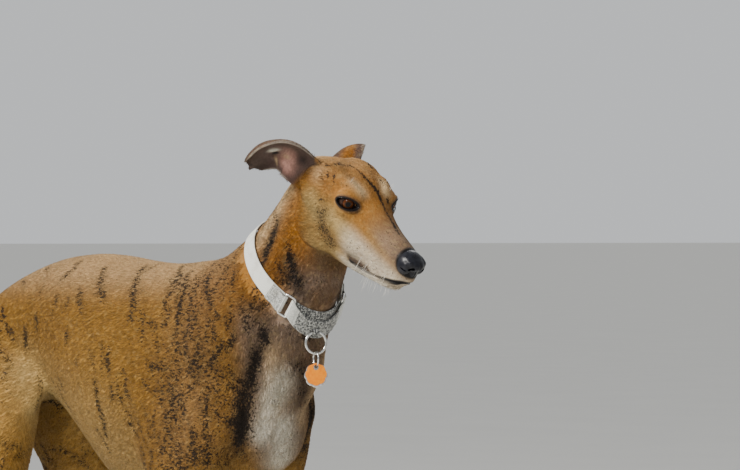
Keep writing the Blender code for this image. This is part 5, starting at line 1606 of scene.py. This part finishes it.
def webbing_paint():
    """Silver-grey webbing with cross ribs and a fine warp, a little dusty, with a mottled darker stretch."""
    material, tree, shader = new_material("collar_webbing", 0.7, Sheen_Weight=0.25, Sheen_Roughness=0.4)
    flat = put(tree, "UVMap", uv_map="weave").outputs[0]
    ribs = put(tree, "TexWave", {"Vector": flat, "Scale": 210.0, "Distortion": 0.6, "Detail": 1.0},
               bands_direction="X").outputs["Fac"]
    warp = put(tree, "TexWave", {"Vector": flat, "Scale": 330.0, "Distortion": 0.4, "Detail": 1.0},
               bands_direction="Y").outputs["Fac"]
    weave = sum_of(tree, "MULTIPLY", ribs, step_between(tree, warp, 0.0, 1.0, 0.55, 1.0))
    dust = grain(tree, 0.010, 4.0)
    tone = blend_paint(tree, weave, srgb(182, 182, 174), srgb(236, 237, 228))
    tone = blend_paint(tree, step_between(tree, dust, 0.45, 0.75, 0.0, 0.35), tone, srgb(150, 140, 122))
    mottle = step_between(tree, grain(tree, 0.0020, 3.0), 0.36, 0.60, 0.30, 0.74)
    dark = sum_of(tree, "MULTIPLY", kept(tree, "mottled"), mottle)
    tone = blend_paint(tree, dark, tone, srgb(44, 45, 46))
    tree.links.new(tone, shader.inputs["Base Color"])
    relief(tree, shader, weave, 0.0004, 0.8)
    return material


def steel_paint():
    material, tree, shader = new_material("polished_steel", 0.18, 1.0)
    wear = grain(tree, 0.0020, 4.0)
    two_tone(tree, shader, wear, 0.4, 0.7, (212, 212, 208), (160, 158, 152))
    tree.links.new(step_between(tree, wear, 0.3, 0.7, 0.10, 0.30), shader.inputs["Roughness"])
    return material


def tag_paint():
    material, tree, shader = new_material("orange_enamel", 0.3, Coat_Weight=0.08, Specular_IOR_Level=0.2)
    two_tone(tree, shader, grain(tree, 0.004, 4.0), 0.35, 0.7, (255, 150, 0), (248, 134, 0))
    relief(tree, shader, grain(tree, 0.0012, 2.0), 0.0001, 0.3)
    return material


def thread_paint():
    material, tree, shader = new_material("stitch_thread", 0.6)
    two_tone(tree, shader, grain(tree, 0.0005, 1.0), 0.3, 0.7, (196, 194, 184), (240, 238, 230))
    return material


def gaze_matrix(side):
    return (
        Matrix.Translation(eye_middle(side))
        @ Matrix.Rotation(GAZE_OUT * side, 4, "Z")
        @ Matrix.Rotation(math.pi / 2, 4, "Y")
    )


def eyeball(side, word):
    """An eyeball with the bulge of its cornea toward where the eye looks."""
    bpy.ops.mesh.primitive_uv_sphere_add(segments=64, ring_count=48, radius=EYE_RADIUS)
    ball = bpy.context.active_object
    ball.name = f"eyeball_{word}"
    points = points_of(ball)
    across = np.linalg.norm(points[:, :2], axis=1)
    bulge = 0.0010 * (1 - ease(across, 0.0030, 0.0082)) * (points[:, 2] > 0)
    points *= (1 + bulge / EYE_RADIUS)[:, None]
    put_points(ball, points)
    flat = ball.data.uv_layers[0]
    flat.name = "gaze"
    corners = numbers(ball.data.loops, "vertex_index", 1, np.int32)
    front = np.where(points[:, 2:] > 0, points[:, :2], points[:, :2] * 9)
    flat.uv.foreach_set("vector", (front[corners] / (2 * EYE_RADIUS) + 0.5).astype(np.float32).ravel())
    ball.data.transform(gaze_matrix(side))
    take(ball)
    bpy.ops.object.shade_smooth()
    return to_head(ball)


def hoop(name, loops):
    """A closed ring from sections that follow one another round."""
    bm = bmesh.new()
    rings = [[bm.verts.new(point) for point in loop] for loop in loops]
    for i, second in enumerate(rings):
        first = rings[i - 1]
        for k in range(len(first)):
            bm.faces.new((first[k], first[k - 1], second[k - 1], second[k]))
    return from_bmesh(name, bm)


def lid_rims(side, word, lid):
    """The dark wet edges of both lids, from the coat down to the eyeball, filling the corners."""
    middle, out = eye_middle(side), lids_out(side)
    inner = almond(side, 0.0212, 0.0062, 0.0053, 0.0004, len(lid))
    loops = []
    for edge, way in zip(lid, inner):
        edge = Vector(edge)
        depth = math.sqrt(EYE_RADIUS ** 2 - way.length_squared)
        on_ball = middle + way + out * depth
        away = (edge - middle) - out * (edge - middle).dot(out)
        away.normalize()
        loops.append([
            edge + away * 0.0007 - out * 0.0014,
            edge + away * 0.0008,
            edge + away * 0.0001 + out * 0.0006,
            edge.lerp(on_ball, 0.35) + out * 0.0009,
            edge.lerp(on_ball, 0.70) + out * 0.0009,
            on_ball + out * 0.0007 + away * 0.0002,
            on_ball - away * 0.0002,
            on_ball - out * 0.0016,
            edge.lerp(on_ball, 0.40) - out * 0.0034,
        ])
    rims = hoop(f"lid_rims_{word}", loops)
    finish_with(rims, "SUBSURF", levels=1, render_levels=1)
    bpy.ops.object.shade_smooth()
    return to_head(rims)


def claw_rows(foot, offset, reach):
    foot_x, foot_y, size = foot
    y = foot_y + offset * size * 1.14
    x = foot_x + 0.054 + reach
    return [
        (x - 0.002, y, 0.0138, CLAW, CLAW, CLAW, 0.0),
        (x + 0.006, y, 0.0126, CLAW * 0.94, CLAW * 0.95, CLAW * 0.95, 0.0),
        (x + 0.0115, y, 0.0090, CLAW * 0.70, CLAW * 0.72, CLAW * 0.72, 0.0),
        (x + 0.0155, y, 0.0048, CLAW * 0.22, CLAW * 0.22, CLAW * 0.22, 0.0),
    ]


def dewclaw_rows():
    x, y, z = 0.034, 0.0625, 0.088
    return [
        (x, y, z, CLAW * 0.85, CLAW * 0.85, CLAW * 0.85, 0.0),
        (x + 0.004, y - 0.0045, z - 0.004, CLAW * 0.75, CLAW * 0.75, CLAW * 0.75, 0.0),
        (x + 0.0075, y - 0.0060, z - 0.010, CLAW * 0.26, CLAW * 0.26, CLAW * 0.26, 0.0),
    ]


def claws(paint):
    """Every claw, by the name of the node that it stands for."""
    made = {}
    for side, word in ((RIGHT, "right"), (LEFT, "left")):
        rows = {f"dewclaw_{word}": dewclaw_rows()}
        for foot, place in ((FORE_FOOT, "fore"), (HIND_FOOT, "hind")):
            for number, (offset, reach) in enumerate(TOES, start=1):
                rows[f"claw_{place}_{word}_{number}"] = claw_rows(foot, offset, reach)
        for node, claw in rows.items():
            horn = loft(f"horn_{node}", on_side(claw, side), rings=16, sides=16)
            horn.data.materials.append(paint)
            take(horn)
            bpy.ops.object.shade_smooth()
            made[node] = horn
    return made


def whiskers(tree):
    """Fine pale hairs on the muzzle, under the chin and over the eyes."""
    draw = np.random.default_rng(7)
    loops_of = []
    for _ in range(58):
        side = draw.choice((RIGHT, LEFT))
        kind = draw.random()
        if kind < 0.55:
            root = Vector((draw.uniform(0.045, 0.094), 0.0, draw.uniform(-0.050, -0.036)))
            way = Vector((-0.2, side, -0.25))
        elif kind < 0.9:
            root = Vector((draw.uniform(0.030, 0.090), draw.uniform(-0.008, 0.008), -0.060))
            way = Vector((0.25, 0.35 * side, -1.0))
        else:
            root = Vector((draw.uniform(-0.012, 0.004), 0.020 * side, 0.010))
            way = Vector((-0.1, 0.5 * side, 0.9))
        cast = HEAD.to_3x3() @ way.normalized()
        found, normal = tree.ray_cast(HEAD @ root, cast)[:2]
        if found is None:
            continue
        length = draw.uniform(0.008, 0.022) if kind < 0.9 else draw.uniform(0.010, 0.016)
        ahead = (normal + 0.7 * Vector(draw.normal(size=3)) * 0.3 + Vector((0.3, 0, -0.6))).normalized()
        if kind >= 0.9:
            ahead = (normal + Vector((0.3, 0, 0.5))).normalized()
        bend = ahead.orthogonal().normalized()
        rings = []
        for k in range(5):
            t = k / 4
            middle = found - normal * 0.001 + ahead * (length * t) + bend * (0.15 * length * t * t)
            size = 0.00016 * (1 - 0.85 * t)
            rings.append(ring_of(middle, bend, ahead.cross(bend), size, 4))
        loops_of.append(skin_rings("whisker", rings))
    joined = join("whiskers", loops_of)
    material, fibre, shader = new_material("whisker_hair", 0.4)
    tone = blend_paint(fibre, grain(fibre, 0.003), srgb(196, 188, 176), srgb(236, 232, 224))
    fibre.links.new(tone, shader.inputs["Base Color"])
    joined.data.materials.append(material)
    return joined


def round_neck(turn):
    return COLLAR_DOWN * math.cos(turn) + Vector((0.0, math.sin(turn), 0.0))


def on_neck(tree, turn, level):
    """The place on the neck in the given direction round the collar, at a height along the neck."""
    return tree.ray_cast(COLLAR_AT + COLLAR_UP * level, round_neck(turn))[0]


def laid_on_neck(tree, turn, level, off):
    """Webbing over the neck at one turn: its middle, across it, and away from the skin."""
    outward = round_neck(turn)
    levels = (level - WEB_WIDTH / 2, level, level + WEB_WIDTH / 2)
    reach = [tree.ray_cast(COLLAR_AT + COLLAR_UP * at, outward)[3] for at in levels]
    rise = max(0.0, reach[1] - (reach[0] + reach[2]) / 2)
    low = COLLAR_AT + COLLAR_UP * levels[0] + outward * (reach[0] + rise + off)
    high = COLLAR_AT + COLLAR_UP * levels[2] + outward * (reach[2] + rise + off)
    across = (high - low).normalized()
    return (low + high) / 2, across, (outward - across * outward.dot(across)).normalized()


def slide_place(tree, turn):
    """Where a slide lies: its middle, the way round the neck, across the webbing, and away from the skin."""
    across = (on_neck(tree, turn, 0.0125) - on_neck(tree, turn, -0.0125)).normalized()
    ahead = on_neck(tree, turn + 0.13, 0.0) - on_neck(tree, turn - 0.13, 0.0)
    ahead = (ahead - across * ahead.dot(across)).normalized()
    away = across.cross(ahead).normalized()
    middle = on_neck(tree, turn, 0.0)
    away = away if away.dot(middle - COLLAR_AT) > 0 else -away
    return middle + away * (WEB_OFF_SKIN + WEB_THICK + GAP + WIRE + 0.0004), ahead, across, away


def webbing_profile(width):
    """Half of woven tape seen end on, as places across it and out from it, with soft edges and a fine ridge
    inside each selvedge."""
    half, thick = width / 2, WEB_THICK
    top = [(0.0, 0.97), (0.45, 0.97), (0.80, 0.96), (0.865, 1.0), (0.95, 0.98), (0.985, 0.80), (1.0, 0.5)]
    upper = [(half * a, thick * h) for a, h in top]
    lower = [(a, thick - h) for a, h in reversed(upper[:-1])]
    right = upper + lower
    return right + [(-a, h) for a, h in reversed(right[1:-1])]


def woven(name, sections, closed=False, width=WEB_WIDTH):
    """Tape along sections (middle of its under face, across, away, mottling), with its weave laid out in metres."""
    profile = webbing_profile(width)
    count = len(profile)
    edges = [math.dist(profile[k - 1], profile[k]) for k in range(1, count)]
    around = [0.0]
    for edge in edges:
        around.append(around[-1] + edge)
    around.append(around[-1] + math.dist(profile[-1], profile[0]))
    run = [0.0]
    for first, second in zip(sections, sections[1:]):
        run.append(run[-1] + (second[0] - first[0]).length)
    bm = bmesh.new()
    weave = bm.loops.layers.uv.new("weave")
    mottling = bm.verts.layers.float.new("mottled")
    rings = []
    for middle, across, away, mottled in sections:
        ring = []
        for a, h in profile:
            vert = bm.verts.new(middle + across * a + away * h)
            vert[mottling] = mottled
            ring.append(vert)
        rings.append(ring)
    steps = len(sections) if closed else len(sections) - 1
    for i in range(steps):
        first, second = rings[i], rings[(i + 1) % len(rings)]
        end = run[i + 1] if i + 1 < len(run) else run[i] + (sections[0][0] - sections[-1][0]).length
        for k in range(count):
            face = bm.faces.new((first[k], first[(k + 1) % count], second[(k + 1) % count], second[k]))
            spots = ((run[i], around[k]), (run[i], around[k + 1]), (end, around[k + 1]), (end, around[k]))
            for loop, spot in zip(face.loops, spots):
                loop[weave].uv = spot
    if not closed:
        bm.faces.new(rings[0])
        bm.faces.new(rings[-1])
    return from_bmesh(name, bm)


def round_bar(place, toward, across, away, first, last, mottled, steps=9):
    """Tape bent round a bar, from the first angle to the last, where 0 is its outer side."""
    bend = []
    for k in range(steps):
        angle = first + (last - first) * k / (steps - 1)
        radial = away * math.cos(angle) + toward * math.sin(angle)
        bend.append((place + radial * (WIRE + 0.0004), across, radial, mottled))
    return bend


def turned_over(section, mottled):
    """The same tape with its other face taken as the under one."""
    middle, across, away = section
    return middle + away * WEB_THICK, across, -away, mottled


def collar_band(tree, places):
    """The band round the neck. Each end goes round the bar of a slide and is sewn back on itself."""
    flap = 0.43
    clear = 0.14
    top = WEB_OFF_SKIN + WEB_THICK + 0.00015
    first_flap, last_flap = [], []
    for side, flaps in ((RIGHT, first_flap), (LEFT, last_flap)):
        middle, ahead, across, away = places[side]
        bar = middle + ahead * (side * SLIDE_LONG / 2)
        for k in range(24):
            t = k / 23
            turn = side * (SLIDE_TURN + clear + (flap - clear) * (1 - t))
            off = top + 0.0040 * float(ease(t, 0.55, 1.0))
            flaps.append((*laid_on_neck(tree, turn, 0.0, off), 1.0 if t > 0.04 else 0.2))
        toward = -ahead * side
        flaps.extend(round_bar(bar, toward, across, away, 0.0, math.pi, 0.35))
    turns = np.linspace(-SLIDE_TURN - clear, -math.tau + SLIDE_TURN + clear, 190)
    band = [turned_over(laid_on_neck(tree, turn, 0.0, WEB_OFF_SKIN), 0.0) for turn in turns]
    return woven("webbing_band", first_flap + band + last_flap[::-1])


def drape_lift(turn):
    """How far the outer strand of the loop hangs below the inner one."""
    return -0.0105 * max(0.0, 1 - (turn / STRAND_TURN) ** 2) ** 0.8


def drape_out(turn):
    return 0.0044 + 0.0028 * min(1.0, abs(turn) / STRAND_TURN) ** 2


def collar_loop(tree, places):
    """The loop that tightens the collar: one closed tape, its strands running inside and outside."""
    inner = [
        turned_over(laid_on_neck(tree, turn, 0.0, WEB_OFF_SKIN), 1.45)
        for turn in np.linspace(-STRAND_TURN + 0.02, STRAND_TURN - 0.02, 60)
    ]
    outer = []
    for turn in np.linspace(STRAND_TURN - 0.015, -STRAND_TURN + 0.015, 70):
        pucker = 0.00025 * math.sin(turn * 70)
        dark = 1.3 if abs(turn) < 0.80 * STRAND_TURN else 0.45
        outer.append((*laid_on_neck(tree, turn, drape_lift(turn), drape_out(turn) + pucker), dark))
    bends = {}
    for side in (RIGHT, LEFT):
        middle, ahead, across, away = places[side]
        bar = middle - ahead * (side * SLIDE_LONG / 2)
        bends[side] = (bar, ahead * side, across, away)
    left = round_bar(*bends[LEFT], math.pi, 0.0, 0.3)
    right = round_bar(*bends[RIGHT], 0.0, math.pi, 0.3)
    return woven("webbing_loop", inner + left + outer + right, closed=True)


def stitches(tree):
    """Thread sewn in a box on each folded end of the band."""
    made = []
    for side in (RIGHT, LEFT):
        for line in (((0.17, -0.0085), (0.41, -0.0085)), ((0.17, 0.0085), (0.41, 0.0085)),
                     ((0.18, -0.0085), (0.18, 0.0085)), ((0.405, -0.0085), (0.405, 0.0085))):
            (turn_a, level_a), (turn_b, level_b) = line
            length = math.hypot((turn_b - turn_a) * 0.060, level_b - level_a)
            count = int(length / 0.0024)
            for k in range(count):
                t = (k + 0.5) / count
                turn = side * (SLIDE_TURN + turn_a + (turn_b - turn_a) * t)
                level = level_a + (level_b - level_a) * t
                spot, across, away = laid_on_neck(tree, turn, 0.0, WEB_OFF_SKIN + 2 * WEB_THICK + 0.00005)
                lifted = 0.0040 * float(ease(1 - (abs(turn) - SLIDE_TURN - 0.14) / 0.29, 0.55, 1.0))
                spot = spot + across * level + away * lifted
                way = across if level_a != level_b else away.cross(across).normalized()
                beside = way.cross(away)
                rings = [
                    ring_of(spot + way * (at * 0.00085), beside, away, 0.00026 * size, 6)
                    for at, size in ((-1.0, 0.3), (-0.55, 0.9), (0.55, 0.9), (1.0, 0.3))
                ]
                made.append(skin_rings("stitch", rings))
    return join("collar_stitches", made)


def wire_loop(name, path, radius, sides=14):
    """A closed round wire along a path."""
    loops = []
    count = len(path)
    up = Vector((0.0, 0.0, 1.0))
    for i, point in enumerate(path):
        ahead = (path[(i + 1) % count] - path[i - 1]).normalized()
        across = ahead.cross(up)
        across = across.normalized() if across.length > 0.02 else ahead.orthogonal().normalized()
        up = across.cross(ahead).normalized()
        loops.append(ring_of(point, across, up, radius, sides))
    return hoop(name, loops)


def slide(name, place):
    """A rectangle of bent steel wire with rounded corners."""
    middle, ahead, across, _ = place
    path = []
    bend = 0.0024
    for a, b, start in ((1, 1, 0.0), (-1, 1, 0.5), (-1, -1, 1.0), (1, -1, 1.5)):
        corner = middle + ahead * (a * (SLIDE_LONG / 2 - bend)) + across * (b * (SLIDE_WIDE / 2 - bend))
        for k in range(7):
            angle = math.pi * (start + k / 12)
            path.append(corner + (ahead * math.cos(angle) + across * math.sin(angle)) * bend)
    return wire_loop(name, path, WIRE)


def box_middle(node):
    """The middle of a solid's box, in the modelling frame."""
    low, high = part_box(node)
    return (low + high) / 2 - SHIFT


def hung_ring(name, node, radius, wire, axis):
    """A ring of round steel, bent from a bar whose two ends meet in a fine joint."""
    middle = box_middle(node)
    bpy.ops.mesh.primitive_torus_add(
        major_radius=radius, minor_radius=wire, major_segments=96, minor_segments=18
    )
    ring = bpy.context.active_object
    ring.name = name
    points = points_of(ring)
    angle = np.arctan2(points[:, 1], points[:, 0])
    pinch = 1 - 0.16 * np.exp(-((np.abs(angle - 2.2) / 0.022) ** 2))
    centre = np.stack([np.cos(angle), np.sin(angle), np.zeros(len(points))], axis=1) * radius
    put_points(ring, centre + (points - centre) * pinch[:, None])
    ring.data.transform(Matrix.Translation(middle) @ axis.to_track_quat("Z", "Y").to_matrix().to_4x4())
    return ring


def scallops(middle, across, up, facing, reach, levels, hole, count=160):
    """A flat disc with eight shallow lobes and a hole, built in rings from its rim in to the hole."""
    rows = []
    for share, level in levels:
        ring = []
        for i in range(count):
            angle = math.tau * i / count
            radius = reach * (0.90 + 0.10 * abs(math.cos(4 * angle)) ** 0.6)
            rim = middle + (across * math.sin(angle) + up * math.cos(angle)) * radius
            inner = hole[0] + (across * math.sin(angle) + up * math.cos(angle)) * hole[1]
            ring.append(inner.lerp(rim, share) + facing * level)
        rows.append(ring)
    return rows


def tag_pieces():
    """The tag: a pale metal plate with a rolled scalloped rim, and the orange enamel in it."""
    size, thick, hole_radius = TAG
    up = Vector((0.0, 0.0, 1.0))
    facing = Vector((math.cos(RING_TURN), math.sin(RING_TURN), 0.0))
    across = up.cross(facing)
    middle = box_middle("tag")
    hole = middle + up * (size - 0.0045)
    half = thick / 2
    levels = [(0.0, half * 0.8), (0.90, half * 0.8), (0.925, half), (0.975, half), (1.0, half * 0.55),
              (1.0, -half * 0.55), (0.975, -half), (0.925, -half), (0.90, -half * 0.8), (0.0, -half * 0.8)]
    plate = hoop("tag_plate", scallops(middle, across, up, facing, size, levels, (hole, hole_radius)))
    levels = [(0.10, half * 0.7), (0.10, half * 0.93), (0.14, half * 1.02), (0.86, half * 1.02),
              (0.90, half * 0.93), (0.90, half * 0.7)]
    faces = []
    for sign in (1, -1):
        rows = [(share, level * sign) for share, level in levels]
        faces.append(hoop("tag_enamel", scallops(middle, across, up, facing, size, rows, (hole, hole_radius))))
    return plate, join("tag_enamel", faces)


def keeper():
    """The short tape that holds the ring against the outer strand."""
    ring = box_middle("collar_ring")
    up = Vector((0.0, 0.0, 1.0))
    axis = Vector((-math.sin(RING_TURN), math.cos(RING_TURN), 0.0))
    middle = ring + up * (RING_RADIUS - 0.00032)
    outward = round_neck(RING_SIDE / 0.065)
    outward = (outward - axis * outward.dot(axis)).normalized()
    beside = axis.cross(outward)
    sections = []
    for k in range(40):
        angle = math.tau * k / 40
        radial = outward * math.cos(angle) + beside * math.sin(angle)
        sections.append((middle + radial * (WIRE + 0.0007), axis, radial, 1.6))
    return woven("ring_keeper", sections, closed=True, width=0.0072)


def collar(tree):
    """Every piece of the collar, with what finish it has and which node it stands for."""
    places = {side: slide_place(tree, SLIDE_TURN * side) for side in (RIGHT, LEFT)}
    facing = Vector((math.cos(RING_TURN), math.sin(RING_TURN), 0.0))
    level_axis = Vector((0.0, 0.0, 1.0)).cross(facing)
    plate, enamel = tag_pieces()
    return [
        (collar_band(tree, places), "webbing", "collar_band"),
        (collar_loop(tree, places), "webbing", "collar_loop"),
        (keeper(), "webbing", None),
        (stitches(tree), "thread", None),
        (slide("steel_slide_right", places[RIGHT]), "steel", "collar_slide_right"),
        (slide("steel_slide_left", places[LEFT]), "steel", "collar_slide_left"),
        (hung_ring("steel_ring", "collar_ring", RING_RADIUS, WIRE, facing), "steel", "collar_ring"),
        (hung_ring("steel_tag_ring", "tag_ring", TAG_RING[0], TAG_RING[1], level_axis), "steel", "tag_ring"),
        (plate, "steel", "tag"),
        (enamel, "enamel", None),
    ]


def photo_camera():
    """The camera at the photograph's place: level, and far enough away for its flat, long view."""
    yaw = math.radians(55)
    right = Vector((math.cos(yaw), math.sin(yaw), 0.0))
    ahead = Vector((-math.sin(yaw), math.cos(yaw), 0.0))
    place = right * 0.2085 - ahead * 5.187 + Vector((0.0, 0.0, 0.744)) + SHIFT
    bpy.ops.object.camera_add(location=place, rotation=(math.pi / 2, 0.0, yaw))
    camera = bpy.context.active_object
    camera.name = "photo_camera"
    camera.data.lens = 199.46
    camera.data.sensor_width = 36.0
    camera.data.clip_end = 1000.0
    bpy.context.scene.camera = camera


def soft_light(name, place, size, power, tint=(1.0, 1.0, 1.0)):
    target = Vector((0.05, 0.0, 0.60))
    turned = (target - Vector(place)).to_track_quat("-Z", "Y").to_euler()
    bpy.ops.object.light_add(type="AREA", location=place, rotation=turned)
    light = bpy.context.active_object
    light.name = name
    light.data.size = size
    light.data.energy = power
    light.data.color = tint


def studio():
    bpy.ops.mesh.primitive_plane_add(size=600.0, location=(0.0, 0.0, 0.0))
    floor = bpy.context.active_object
    floor.name = "studio_floor"
    material, tree, shader = new_material("pale_floor", 0.8)
    tone = blend_paint(tree, grain(tree, 0.4, 3.0), srgb(214, 212, 206), srgb(222, 220, 214))
    tree.links.new(tone, shader.inputs["Base Color"])
    floor.data.materials.append(material)
    world = bpy.data.worlds.new("studio_air")
    world.use_nodes = True
    world.node_tree.nodes["Background"].inputs["Color"].default_value = (0.86, 0.88, 0.90, 1.0)
    world.node_tree.nodes["Background"].inputs["Strength"].default_value = 0.75
    bpy.context.scene.world = world
    soft_light("key_light", (-0.2, -3.4, 3.4), 1.2, 330.0, (1.0, 0.96, 0.90))
    soft_light("fill_light", (2.8, -3.5, 2.9), 0.8, 85.0, (0.98, 0.98, 1.0))
    soft_light("back_light", (-2.4, 2.2, 3.4), 2.0, 55.0, (1.0, 0.98, 0.95))


def set_down(piece, slot, *nodes):
    """Move a finished piece into the shared frame and say what it rides on and stands for."""
    piece.data.transform(Matrix.Translation(SHIFT))
    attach(piece, "root")
    if nodes:
        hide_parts(*nodes)


def flesh_nodes():
    sided = ("foreleg", "fore_pastern", "forepaw", "thigh", "gaskin", "hind_pastern", "hindpaw", "ear")
    return ["head", "neck", "torso", "tail"] + [f"{part}_{word}" for part in sided for word in ("right", "left")]


def main():
    skin, tree, lips, lids = whole_skin()
    unwrap(skin)
    coat = coat_paint()
    points, out = points_of(skin), normals_of(skin)
    marks = PHOTO_MARKS + other_side_marks() + hind_bars() + broken_stripes(points, out)
    tone, field, flecks, bare, _ = markings(points, out, lips, lids, marks)
    store_markings(skin, tone, field, flecks, bare, np.full(len(points), 0.92))
    skin.data.materials.clear()
    skin.data.materials.append(coat)
    for piece in grow_coat(skin, lips, lids, marks, coat):
        set_down(piece, "coat")
    set_down(skin, "coat", *flesh_nodes())
    glaze, rim = eye_paint(), lid_paint()
    for side, word, lid in ((RIGHT, "right", lids[0]), (LEFT, "left", lids[1])):
        ball = eyeball(side, word)
        ball.data.materials.append(glaze)
        set_down(ball, "eye", f"eye_{word}")
        rims = lid_rims(side, word, lid)
        rims.data.materials.append(rim)
        set_down(rims, "leather")
    leather = nose()
    leather.data.materials.append(leather_paint())
    take(leather)
    bpy.ops.object.shade_smooth()
    set_down(leather, "leather", "nose")
    for node, horn in claws(horn_paint()).items():
        set_down(horn, "horn", node)
    set_down(whiskers(tree), "coat")
    finishes = {"webbing": webbing_paint(), "steel": steel_paint(), "enamel": tag_paint(), "thread": thread_paint()}
    for piece, finish, node in collar(tree):
        piece.data.materials.clear()
        piece.data.materials.append(finishes[finish])
        take(piece)
        bpy.ops.object.shade_smooth_by_angle(angle=math.radians(50))
        set_down(piece, "webbing" if finish == "thread" else finish, *([node] if node else []))
    photo_camera()
    studio()


main()
